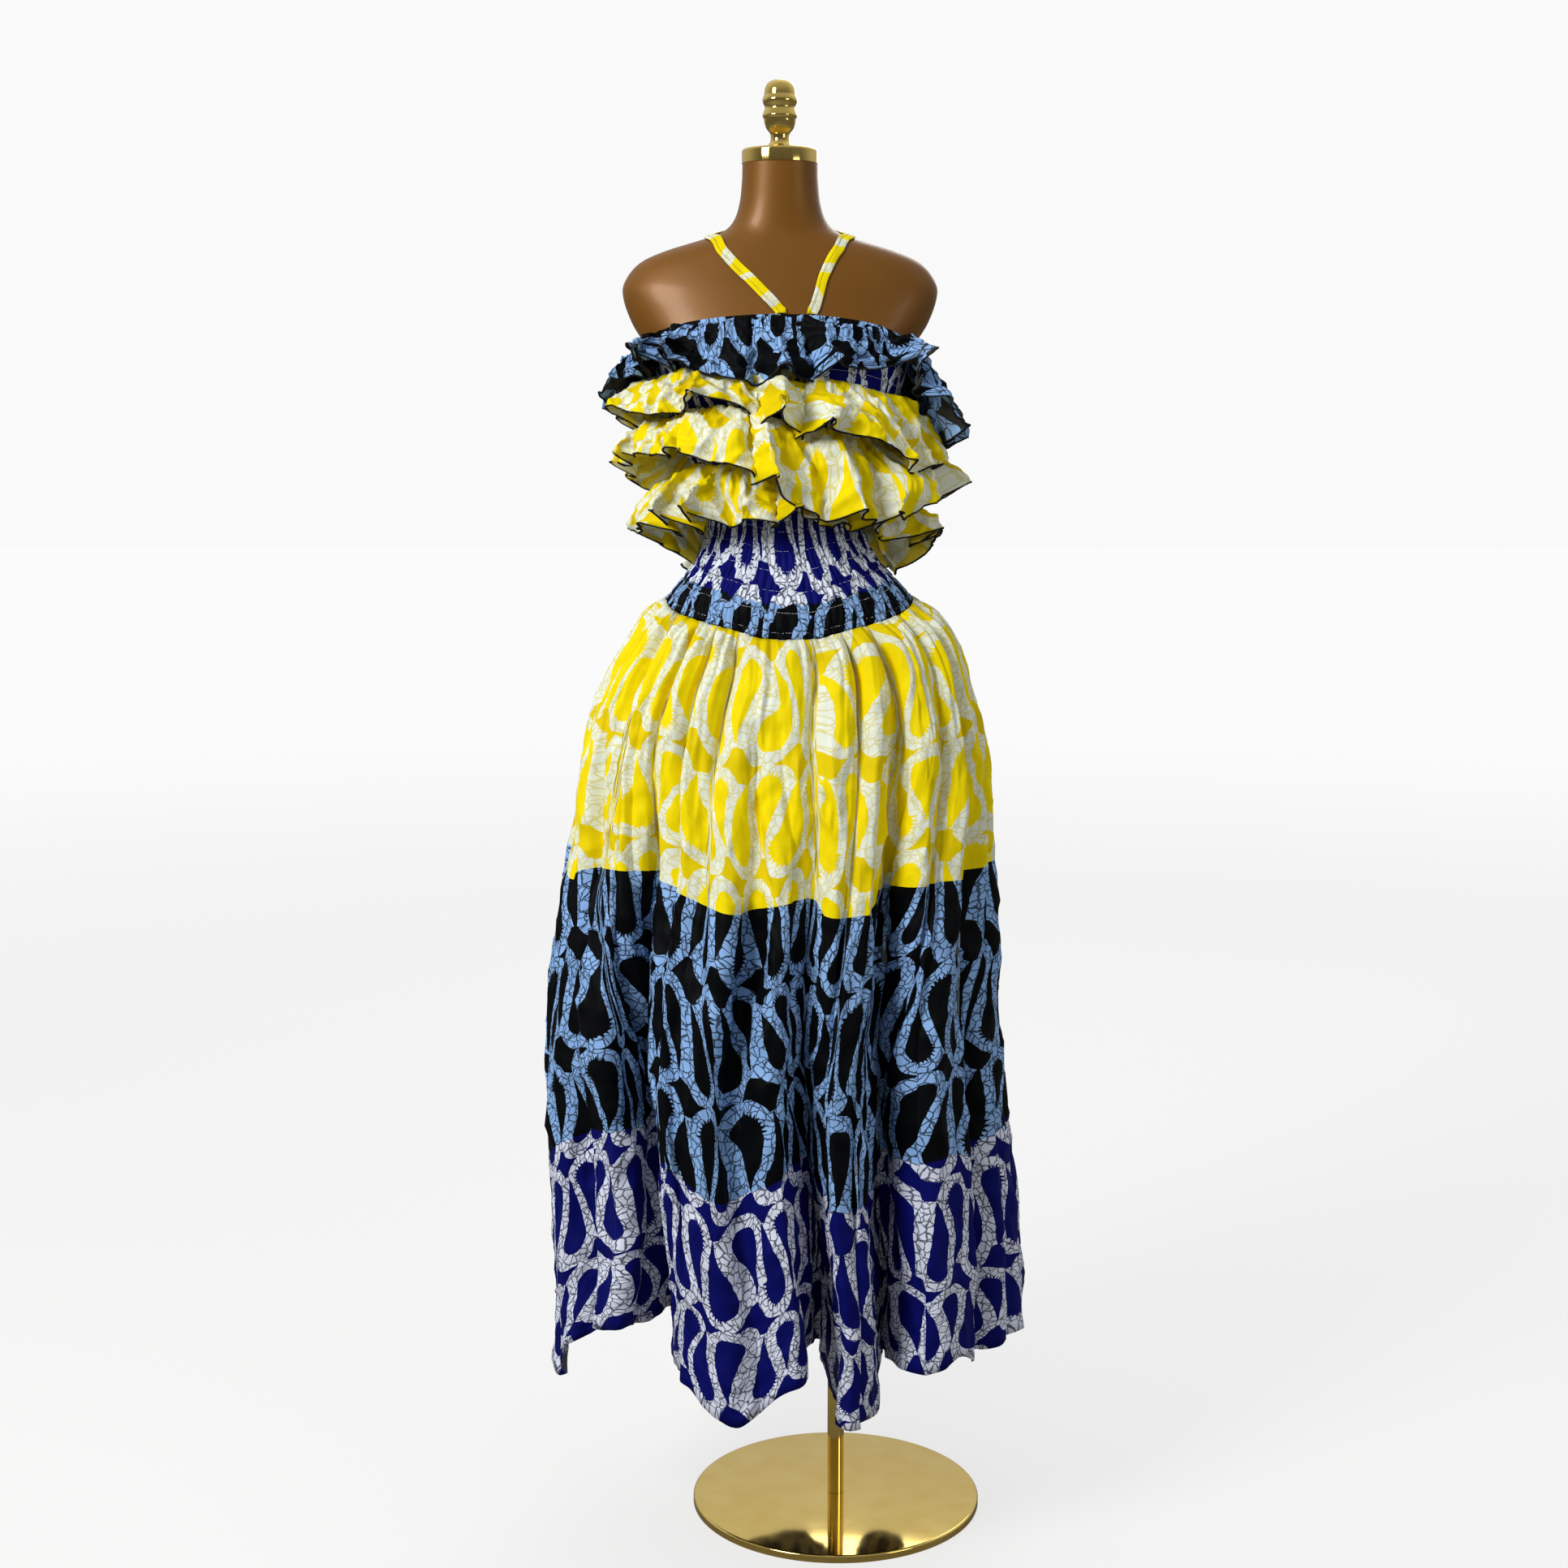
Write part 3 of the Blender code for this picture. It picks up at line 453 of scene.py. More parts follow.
# Bands start at these distances down the cloth
skirtBands = ((0, *yellowDye), (0.335, *blackDye), (0.690, *navyDye))
bodyBands = ((0, *blackDye), (0.034, *paleNavyDye), (0.335, *blackDye))
skirtCloth = waxedCotton("waxedCottonBands", skirtBands, rowStart=0.433)
bodyCloth = waxedCotton("waxedCottonShirred", bodyBands, rowStart=0.036)
strapCloth = waxedCotton("waxedCottonStrap", ((0, *yellowDye),), rowStart=0.020)
ruffleCloths = {
    name: waxedCotton("waxedCotton" + title, ((0, *dye),), rowStart, edgeAt, wrongSide)
    for name, title, dye, rowStart, edgeAt, wrongSide in (
        ("top", "Black", blackDye, 0.052, 0.0701, 0.05),
        ("upper", "YellowA", yellowDye, 0.050, 0.0785, 0.08),
        ("middle", "YellowB", yellowDye, 0.028, 0.0869, 0.08),
        ("lower", "YellowC", yellowDye, 0.085, 0.0869, 0.08),
    )
}
bronze = bronzeLacquer()
gold = platedGold()
blackThread = sewingThread("blackOverlockThread", "#15151A")
paleThread = sewingThread("paleShirringThread", "#B9BBC4")
darkThread = sewingThread("darkTopstitchThread", "#3A372C")
print("materials made")


# Stand: finial is radius and share of its height, from the top
stand = {
    "gap": 0.0003,
    "baseRadius": 0.190,
    "baseThickness": 0.010,
    "baseRounding": 0.003,
    "capRounding": 0.0035,
    "poleRadius": 0.011,
    "poleX": 0.074,
    "poleTop": 0.9797,
    "capRadius": 0.0472,
    "capBottom": 1.7390,
    "capHeight": 0.0180,
    "finialHeight": 0.0840,
    "finial": (
        (0.0000, 1.000), (0.0085, 0.983), (0.0150, 0.940), (0.0180, 0.880), (0.0192, 0.815), (0.0196, 0.770),
        (0.0210, 0.730), (0.0217, 0.695), (0.0210, 0.655), (0.0187, 0.590), (0.0206, 0.515), (0.0217, 0.470),
        (0.0205, 0.440), (0.0192, 0.370), (0.0170, 0.295), (0.0130, 0.235), (0.0118, 0.200), (0.0119, 0.110),
        (0.0140, 0.065), (0.0170, 0.020), (0.0172, 0.000),
    ),
}


def spunObject(name, profile, finish, centreX, steps=96):  # (radius, height) from top to bottom
    shape = bmesh.new()
    points = [shape.verts.new((radius, 0.0, height)) for radius, height in profile]
    edges = [shape.edges.new(pair) for pair in zip(points, points[1:])]
    turned = {"cent": (0, 0, 0), "axis": (0, 0, 1), "angle": math.tau, "steps": steps, "use_merge": True}
    bmesh.ops.spin(shape, geom=points + edges, **turned)
    bmesh.ops.remove_doubles(shape, verts=shape.verts, dist=0.00001)
    bmesh.ops.recalc_face_normals(shape, faces=shape.faces)
    bmesh.ops.translate(shape, verts=shape.verts, vec=(centreX, 0, 0))
    mesh = bpy.data.meshes.new(name)
    shape.to_mesh(mesh)
    shape.free()
    return addObject(name, mesh, finish, 35)


def discProfile(radius, bottom, height, rounding, chamfer=0.0006):
    profile = [(0.0, bottom + height)]
    for step in range(9):
        turn = math.pi / 2 * step / 8
        inset, drop = rounding * (1 - math.sin(turn)), rounding * (1 - math.cos(turn))
        profile.append((radius - inset, bottom + height - drop))
    profile += [(radius, bottom + chamfer), (radius - chamfer, bottom), (0.0, bottom)]
    return profile


def makeStand():
    part = stand
    disc = discProfile(part["baseRadius"], 0.0, part["baseThickness"], part["baseRounding"])
    base = spunObject("standBase", disc, gold, part["poleX"], 128)
    foot = part["baseThickness"] + part["gap"]
    rod = [(0, part["poleTop"]), (part["poleRadius"], part["poleTop"]), (part["poleRadius"], foot), (0, foot)]
    pole = spunObject("standPole", rod, gold, part["poleX"], 64)
    disc = discProfile(part["capRadius"], part["capBottom"], part["capHeight"], part["capRounding"])
    cap = spunObject("neckCap", disc, gold, 0.0)
    foot = part["capBottom"] + part["capHeight"] + part["gap"]
    shares = np.linspace(0, 1, 90)
    rows = [(1 - share, radius) for radius, share in part["finial"]]
    radii = readCurve(rows, shares)[:, 0]
    profile = [(max(radius, 0.0), foot + (1 - share) * part["finialHeight"]) for radius, share in zip(radii, shares)]
    profile[0] = (0.0, profile[0][1])
    finial = spunObject("neckFinial", profile + [(0.0, foot)], gold, 0.0)
    for piece, node in ((base, "stand_base"), (pole, "stand_pole"), (cap, "neck_cap"), (finial, "neck_finial")):
        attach(piece, "root")
        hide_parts(node)


makeStand()

# Form: height, half width, front depth, back depth, shift to +X
form = {
    "squareness": 2.2,
    "footBevel": 0.004,
    "rows": 150,
    "sides": 160,
    "sections": (
        (0.980, 0.150, 0.098, 0.116, 0.012), (1.000, 0.161, 0.104, 0.124, 0.012),
        (1.060, 0.170, 0.109, 0.130, 0.012), (1.120, 0.171, 0.109, 0.128, 0.012),
        (1.170, 0.165, 0.106, 0.121, 0.012), (1.205, 0.150, 0.100, 0.110, 0.012),
        (1.230, 0.129, 0.093, 0.099, 0.011), (1.255, 0.109, 0.087, 0.089, 0.009),
        (1.280, 0.0965, 0.082, 0.081, 0.007), (1.305, 0.0915, 0.080, 0.078, 0.006),
        (1.335, 0.0960, 0.083, 0.079, 0.005), (1.370, 0.110, 0.093, 0.083, 0.004),
        (1.410, 0.129, 0.106, 0.088, 0.003), (1.450, 0.143, 0.110, 0.092, 0.002),
        (1.490, 0.155, 0.103, 0.094, 0.001), (1.514, 0.165, 0.094, 0.093, 0.000),
        (1.547, 0.185, 0.081, 0.089, 0.000), (1.584, 0.196, 0.070, 0.081, 0.000),
        (1.605, 0.188, 0.063, 0.074, 0.000), (1.622, 0.170, 0.057, 0.068, 0.000),
        (1.635, 0.139, 0.053, 0.063, 0.000), (1.645, 0.105, 0.050, 0.058, 0.000),
        (1.655, 0.0745, 0.048, 0.053, 0.000), (1.668, 0.0590, 0.047, 0.050, 0.000),
        (1.690, 0.0505, 0.0465, 0.048, 0.000), (1.720, 0.0470, 0.0465, 0.0465, 0.000),
        (1.7387, 0.0465, 0.0465, 0.0465, 0.000),
    ),
}


def formPoint(angle, height, out=0.0):
    angle, height = np.broadcast_arrays(angle, height)
    half, front, back, shift = np.moveaxis(readCurve(form["sections"], height), -1, 0)
    turn = np.radians(angle)
    power = 2 / form["squareness"]
    across = np.sign(np.sin(turn)) * np.abs(np.sin(turn)) ** power
    ahead = np.sign(np.cos(turn)) * np.abs(np.cos(turn)) ** power
    depth = np.where(ahead > 0, front, back)
    return np.stack([shift + (half + out) * across, -(depth + out) * ahead, height + 0 * angle], -1)


def makeForm():
    sections = form["sections"]
    spacing = [(0, sections[0][0]), (0.5, 1.40), (1, sections[-1][0])]  # closer rows at the shoulders
    heights = readCurve(spacing, np.linspace(0, 1, form["rows"]))[:, 0]
    angles = -180 + 360 * np.arange(form["sides"]) / form["sides"]
    grid = formPoint(angles[None, :], heights[::-1, None])
    rows, sides = grid.shape[:2]
    shape = bmesh.new()
    points = [shape.verts.new(point) for point in grid.reshape(-1, 3)]
    for row in range(rows - 1):
        for side in range(sides):
            here, beside = row * sides + side, row * sides + (side + 1) % sides
            shape.faces.new([points[here], points[here + sides], points[beside + sides], points[beside]])
    shape.faces.new(points[:sides])
    floor = shape.faces.new(list(reversed(points[-sides:])))
    bmesh.ops.bevel(shape, geom=list(floor.edges), offset=form["footBevel"], segments=3, affect="EDGES", profile=0.5)
    mesh = bpy.data.meshes.new("dressForm")
    shape.to_mesh(mesh)
    shape.free()
    made = addObject("dressForm", mesh, bronze, 50)
    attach(made, "root")
    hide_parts("form_torso")


makeForm()
print("form and stand made")

# Shirred body: angle, top edge's height, waist seam's height
body = {
    "clear": 0.0007,
    "wall": 0.0016,
    "ribs": 112,
    "ribHeight": 0.0036,
    "ribVaries": 0.5,
    "ribDrift": (0.75, 38, 0.06),  # share of a rib, cells round, metres down
    "ribHidden": 0.75,
    "threadDip": 0.62,
    "fineFolds": (0.0006, 300, 0.012),  # height, cells round, metres down
    "ragged": 0.0045,
    "shirrPitch": 0.0235,
    "length": 0.375,
    "firstRow": 0.38,
    "printWidth": 1.615,
    "drawnWidth": 0.84,
    "columns": 760,
    "rows": 120,
    "edges": (
        (-180, 1.505, 1.192), (-135, 1.506, 1.199), (-90, 1.514, 1.2055), (-60, 1.530, 1.191),
        (-30, 1.546, 1.176), (0, 1.553, 1.159), (30, 1.545, 1.175), (60, 1.526, 1.191), (90, 1.510, 1.2055),
        (135, 1.505, 1.199),
    ),
}


def bodyPoint(angle, share, out):
    top, seam = np.moveaxis(readRound(body["edges"], angle), -1, 0)
    return formPoint(angle, top + (seam - top) * share, out)


def ribPlace(around, deep):  # counts the ribs round the body
    reach, cells, drop = body["ribDrift"]
    return around * body["ribs"] + cloud(around * cells, deep / drop, 3, cells) * reach


def bodySurface(angle, shares):  # the shirred cloth's outer side, gathered finely between the thread rows
    part = body
    around = (angle + 180) / 360
    deep = shares * part["length"]
    strength = 0.75 + part["ribVaries"] * cloud(around * part["ribs"], deep / 0.05, 9, part["ribs"])
    rib = np.abs(np.sin(math.pi * ribPlace(around, deep))) ** 0.7 * strength
    between = np.abs((deep / part["shirrPitch"] + part["firstRow"]) % 1.0 - 0.5) * 2  # 1 on a thread row
    puff = 1 - part["threadDip"] * easeIn((between - 0.66) / 0.34)
    height, cells, drop = part["fineFolds"]
    fine = height * (0.5 + 0.5 * cloud(around * cells, deep / drop, 8, cells))
    grown = easeIn((shares - 0.30) / 0.25) * 0.75 + 0.25  # flatter under the ruffles
    return bodyPoint(angle, shares, part["clear"] + part["wall"] + (part["ribHeight"] * rib * puff + fine) * grown)


def makeBody():
    part = body
    shares = np.linspace(0, 1, part["rows"])[:, None]
    for name, node, start in (("shirredFront", "smocked_front", -90.0), ("shirredBack", "smocked_back", 90.0)):
        turn = np.linspace(0.12, 179.88, part["columns"] // 2 + 1)[None, :]
        angle = start + turn
        outer = bodySurface(angle, shares)
        inner = bodyPoint(angle, shares, part["clear"])
        wall = np.linalg.norm(outer - inner, axis=-1, keepdims=True)
        around, deep = np.broadcast_arrays((angle + 180) / 360, shares * part["length"])
        rib = ribPlace(around, deep)
        hidden = part["ribHidden"] * np.sin(math.tau * rib) / (math.tau * part["ribs"])  # cloth inside the gathers
        drift = part["ragged"] * cloud(around * part["ribs"], deep / 0.02, 21, part["ribs"])
        flat = np.stack([(around + hidden) * part["printWidth"], deep + drift], -1)
        made = wallObject(name, outer, flat, wall, False, bodyCloth, (outer - inner) / wall)
        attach(made, "root")
        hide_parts(node)
    print("shirred body made")


makeBody()

# Skirt: spread is share down, side, front, back, shift; troughs are angle at the seam, angle at the
# hem, half width and depths at the levels; hem is angle and height
skirt = {
    "wall": 0.0012,
    "columns": 1000,
    "rows": 98,
    "rowSpread": 1.15,
    "length": 0.965,
    "flatWidth": 3.00,
    "standOff": 0.0050,
    "seamGap": 0.0003,
    "sideSlit": 0.00018,
    "gathers": 24,
    "gatherDepth": 0.0150,
    "gatherJitter": (0.75, 0.14),
    "gatherReach": (0.40, 0.26),
    "grooveDepth": 0.0080,
    "grooveWidth": 0.11,
    "valley": 0.045,
    "lastRow": (0.852, 1.37),
    "printRepeat": 1.20,
    "printSpread": (0.78, 0.55),
    "hemRipple": 0.0065,
    "tuckDepth": 0.0042,
    "tuckReach": 0.085,
    "softFolds": 27,
    "softDepth": 0.0160,
    "creases": (  # size across and down, height, seed, slant
        ((0.110, 0.210), 0.0085, 11, 0.25),
        ((0.075, 0.120), 0.0062, 12, -0.45),
        ((0.040, 0.065), 0.0058, 13, 0.3),
        ((0.022, 0.032), 0.0026, 14, -0.2),
    ),
    "levels": (0.08, 0.25, 0.50, 0.75, 1.00),
    "spread": (
        (0.00, 0.000, 0.000, 0.000, 0.000), (0.02, 0.026, 0.013, 0.015, 0.003),
        (0.05, 0.047, 0.026, 0.029, 0.004), (0.10, 0.071, 0.043, 0.048, -0.001),
        (0.18, 0.095, 0.064, 0.070, -0.005), (0.28, 0.109, 0.084, 0.092, -0.007),
        (0.42, 0.126, 0.110, 0.116, -0.015), (0.58, 0.138, 0.131, 0.135, -0.022),
        (0.75, 0.142, 0.146, 0.146, -0.014), (0.90, 0.144, 0.156, 0.155, -0.003),
        (1.00, 0.151, 0.161, 0.160, -0.004),
    ),
    "troughs": (
        (-158, -163, 10.0, (0.002, 0.018, 0.050, 0.075, 0.090)),
        (-130, -134, 10.0, (0.000, 0.015, 0.045, 0.085, 0.110)),
        (-106, -109, 8.0, (0.000, 0.010, 0.035, 0.060, 0.075)),
        (-84, -86, 7.5, (0.000, 0.006, 0.022, 0.036, 0.042)),
        (-60, -57, 9.0, (0.000, 0.010, 0.030, 0.040, 0.045)),
        (-35, -31, 9.5, (0.000, 0.018, 0.070, 0.125, 0.165)),
        (-6, -7, 6.0, (0.004, 0.018, 0.034, 0.022, 0.000)),
        (6.5, 7.0, 6.0, (0.000, 0.008, 0.045, 0.105, 0.140)),
        (31, 23.0, 8.0, (0.006, 0.040, 0.085, 0.120, 0.145)),
        (61, 57, 8.0, (0.000, 0.012, 0.038, 0.042, 0.038)),
        (84, 82, 7.5, (0.000, 0.008, 0.024, 0.032, 0.034)),
        (108, 110, 9.0, (0.000, 0.012, 0.045, 0.075, 0.095)),
        (134, 137, 9.5, (0.000, 0.014, 0.045, 0.080, 0.105)),
        (163, 166, 10.0, (0.002, 0.018, 0.055, 0.090, 0.115)),
    ),
    "hem": (
        (-180, 0.236), (-163, 0.252), (-148, 0.214), (-134, 0.268), (-121, 0.262), (-109, 0.288),
        (-97, 0.284), (-88, 0.268), (-81, 0.240), (-74, 0.203), (-67, 0.244), (-59, 0.286), (-47, 0.308),
        (-34, 0.310), (-22, 0.262), (-10, 0.218), (-3, 0.248), (3, 0.272), (7, 0.268), (10, 0.222),
        (12, 0.207), (18, 0.205), (22, 0.209), (24, 0.250), (29, 0.262), (42, 0.274), (52, 0.262),
        (65, 0.270), (78, 0.268), (90, 0.256), (110, 0.248), (123, 0.216), (137, 0.250), (151, 0.216),
        (166, 0.246),
    ),
}


def troughDepth(angle, share):
    depth = 0.0
    first = skirt["levels"][0]
    for topAngle, hemAngle, halfWidth, depths in skirt["troughs"]:
        centre = topAngle + (hemAngle - topAngle) * share
        away = np.abs((angle - centre + 180) % 360 - 180) / halfWidth
        level = np.maximum(readCurve(list(zip(skirt["levels"], depths)), np.maximum(share, first))[..., 0], 0)
        shape = np.where(away < 1, np.cos(math.pi / 2 * np.minimum(away, 1)) ** 2, 0)
        depth = depth + level * shape * easeIn(share / first)
    return depth


def skirtBase(angle, share):
    seam = readRound(body["edges"], angle)[..., 1]
    start = formPoint(angle, seam, body["clear"] + skirt["standOff"])
    start[..., 2] = seam - skirt["seamGap"]
    side, front, back, shift = np.moveaxis(readCurve(skirt["spread"], share), -1, 0)
    turn = np.radians(angle)
    ahead, across = np.cos(turn), np.sin(turn)
    depth = np.where(ahead > 0, front, back)
    inward = np.stack([-(across**3), ahead**3, 0 * turn], -1)
    inward /= np.linalg.norm(inward, axis=-1, keepdims=True)
    spread = np.stack([shift + side * across, -depth * ahead, 0 * turn + 0 * share], -1)
    place = start + spread + inward * troughDepth(angle, share)[..., None]
    hem = readRound(skirt["hem"], angle)[..., 0]
    place[..., 2] = start[..., 2] + (hem - start[..., 2]) * share
    return place


def makeSkirt():
    part = skirt
    trail = -180 + 360 * np.arange(2881) / 2880
    hem = skirtBase(trail, np.ones_like(trail))
    length = np.concatenate([[0], np.cumsum(np.linalg.norm(np.diff(hem, axis=0), axis=1))])
    width = float(length[-1])
    columns = part["columns"]
    cloth = np.arange(columns) / columns
    # the columns are even round the waist, and settle to be even along the wavy hem
    atHem = np.interp(cloth * width, length, trail)
    atTop = -180 + 360 * cloth
    share = np.linspace(0, 1, part["rows"])[:, None] ** part["rowSpread"]
    settle = easeIn(share / 0.7)
    angle = atTop[None, :] * (1 - settle) + atHem[None, :] * settle
    share = share + 0 * angle
    base = skirtBase(angle, share)
    normals = gridNormals(base, True)
    across = cloth[None, :] + 0 * share
    down = share * part["length"]
    # gathers at the seam, each with its own length, that run out into the folds
    count = part["gathers"]
    jitter, drift = part["gatherJitter"]
    place = across * count + jitter * cloud(across * count / 2, 0.5, 1, count // 2)
    place = place + drift * cloud(across * count, down / 0.24, 31, count) * easeIn(share / 0.08)
    usual, varies = part["gatherReach"]
    reach = usual + varies * cloud(across * count, 0.5, 2, count)
    fade = easeIn(share / 0.03) * np.exp(-((share / np.maximum(reach, 0.08)) ** 1.6))
    strong = 0.85 + 0.55 * cloud(across * count, down / 0.3, 3, count)
    out = part["gatherDepth"] * strong * fade * (1.25 * np.abs(np.sin(math.pi * place)) ** 0.75 - 0.95)
    valley = np.abs(place - np.round(place))
    out -= part["grooveDepth"] * fade * np.exp(-((valley / part["grooveWidth"]) ** 2))
    # cloth that the valleys hold: the print keeps its scale between them
    nearness = np.clip(np.gradient(place, axis=1) * columns / count, 0.35, 3.0)
    turned = place - np.floor(place)
    edge = part["valley"]
    steep = [0.5 * turned / edge, 0.5 * (turned - 1) / edge]
    jump = np.select([turned < edge, turned > 1 - edge], steep, 0.5 - (turned - edge) / (1 - 2 * edge))
    small = 3 * count
    tuck = 1.3 * np.abs(np.sin(math.pi * (across * small + 0.6 * cloud(across * small, 0.5, 4, small)))) - 0.8
    out += part["tuckDepth"] * tuck * easeIn(share / 0.008) * np.exp(-share / part["tuckReach"])
    # long soft folds between the deep ones
    folds = part["softFolds"]
    roll = across * folds + 0.7 * cloud(across * folds, down / 0.5, 5, folds)
    swell = 0.65 + 0.55 * cloud(across * folds, down / 0.22, 6, folds)
    grown = easeIn((share - 0.06) / 0.22)
    out += part["softDepth"] * swell * grown * (1.35 * np.abs(np.cos(math.pi * roll)) ** 0.9 - 0.8)
    # crisp creases of the stiff cotton
    for (sizeX, sizeY), height, seed, slant in part["creases"]:
        wraps = round(width / sizeX)
        x, y = across * wraps, down / sizeY
        bent = cloud(x * 0.5, y * 0.7, seed + 20) * slant
        out += height * creases(x, y + bent, seed, wraps) * (0.40 + 0.60 * easeIn(share / 0.20))
    place = base + normals * out[..., None]
    ripple = cloud(across * 38, 0.0, 51, 38) + 0.6 * cloud(across * 90, 0.0, 52, 90)
    place[..., 2] += part["hemRipple"] * share**7 * ripple
    shown = np.clip(np.linalg.norm(np.roll(place, -1, 1) - place, axis=-1).sum(1) / width, 0.3, 1.0)
    least, level = part["printSpread"]  # the yellow band's drops are printed wider
    shown = shown[:, None] * (least + (1 - least) * easeIn(share / level))
    hidden = (1 - shown) * jump / (count * nearness)
    lastStart, stretch = part["lastRow"]  # the row at the hem is printed shorter
    printDown = np.minimum(down + np.maximum(down - lastStart, 0) * (stretch - 1), 0.9965)
    printWidth = width * part["printRepeat"]
    flat = np.stack([(across + hidden) * printWidth, printDown], -1)
    normals = gridNormals(place, True)
    inner = place - normals * part["wall"]
    quarter = columns // 4
    for name, node, first in (("skirtFront", "skirt_front", quarter), ("skirtBack", "skirt_back", 3 * quarter)):
        picked = (first + np.arange(columns // 2 + 1)) % columns
        outside, under = place[:, picked].copy(), inner[:, picked].copy()
        flatPart = flat[:, picked].copy()
        flatPart[..., 0] = np.where(picked[None, :] < first, flatPart[..., 0] + printWidth, flatPart[..., 0])
        for end, beside in ((0, 1), (-1, -2)):  # keeps the halves apart
            slit = outside[:, beside] - outside[:, end]
            slit = slit / np.linalg.norm(slit, axis=-1, keepdims=True) * part["sideSlit"]
            outside[:, end] += slit
            under[:, end] += slit
        wall = np.linalg.norm(outside - under, axis=-1, keepdims=True)
        made = wallObject(name, outside, flatPart, wall, False, skirtCloth, (outside - under) / wall)
        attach(made, "root")
        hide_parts(node)
    print("skirt made, hem", round(width, 2), "m round")


makeSkirt()

# Ruffles: angle, sewn edge's height, free edge's height, flare at the free edge
ruffles = {
    "wall": 0.0010,
    "columns": 900,
    "rows": 34,
    "flare": 0.92,
    "puff": 1.5,
    "hang": 1.15,
    "waveDepth": 0.021,
    "waveLift": 0.0110,
    "overhang": 0.0065,
    "gap": 0.0005,
    "flareVaries": 0.22,
    "liftVaries": 0.010,
    "gathers": 90,
    "gatherDepth": 0.0026,
    "cutShare": 0.78,
    "printScale": 0.84,
    "loopInset": 0.0009,
    "creases": (  # wraps, share down, height, seed
        (22, 0.45, 0.0105, 5), (46, 0.27, 0.0095, 6), (96, 0.14, 0.0048, 7),
    ),
    "top": {
        "phase": 0.06, "waves": 14, "swing": 1.45, "ragged": 0.0065, "rise": 0.002, "depth": 0.085,
        "rows": (
            (-180, 1.499, 1.420, 0.048), (-135, 1.500, 1.430, 0.046), (-90, 1.508, 1.436, 0.040),
            (-66, 1.522, 1.466, 0.038), (-46, 1.532, 1.500, 0.036), (-25, 1.543, 1.484, 0.030),
            (8, 1.547, 1.478, 0.030), (24, 1.541, 1.494, 0.034), (50, 1.529, 1.494, 0.040),
            (64, 1.519, 1.442, 0.047), (90, 1.504, 1.398, 0.056), (135, 1.499, 1.412, 0.052),
        ),
    },
    "upper": {
        "phase": 0.11, "waves": 12, "swing": 1.0, "ragged": 0.0015, "rise": 0.004, "depth": 0.095,
        "rows": (
            (-180, 1.445, 1.365, 0.060), (-135, 1.448, 1.378, 0.056), (-90, 1.470, 1.425, 0.048),
            (-60, 1.480, 1.438, 0.046), (-25, 1.490, 1.450, 0.040), (0, 1.486, 1.423, 0.042),
            (22, 1.474, 1.394, 0.046), (45, 1.462, 1.366, 0.054), (65, 1.456, 1.364, 0.058),
            (90, 1.455, 1.376, 0.062), (135, 1.445, 1.362, 0.062),
        ),
    },
    "middle": {
        "phase": 0.16, "waves": 12, "swing": 0.85, "ragged": 0.0015, "rise": 0.013, "depth": 0.105,
        "rows": (
            (-180, 1.392, 1.310, 0.070), (-135, 1.396, 1.320, 0.070), (-90, 1.418, 1.360, 0.077),
            (-60, 1.424, 1.388, 0.060), (-25, 1.436, 1.376, 0.052), (-7, 1.426, 1.358, 0.052),
            (4, 1.417, 1.322, 0.053), (20, 1.410, 1.311, 0.056), (45, 1.402, 1.310, 0.062),
            (62, 1.398, 1.316, 0.070), (90, 1.396, 1.335, 0.092), (135, 1.392, 1.310, 0.076),
        ),
    },
    "lower": {
        "phase": 0.21, "waves": 11, "swing": 1.0, "ragged": 0.0015, "rise": 0.006, "depth": 0.105,
        "rows": (
            (-180, 1.345, 1.240, 0.072), (-135, 1.347, 1.246, 0.074), (-90, 1.362, 1.284, 0.076),
            (-60, 1.368, 1.292, 0.066), (-25, 1.372, 1.302, 0.045), (0, 1.366, 1.302, 0.042),
            (25, 1.360, 1.304, 0.044), (60, 1.352, 1.288, 0.058), (90, 1.350, 1.270, 0.079),
            (135, 1.346, 1.243, 0.076),
        ),
    },
}


def overBody(angle, height, out):  # off the shirred body's outside
    top, seam = np.moveaxis(readRound(body["edges"], angle), -1, 0)
    share = np.clip((height - top) / (seam - top), 0.0, 1.0)
    return bodyPoint(angle, share, body["clear"] + body["wall"] + out)


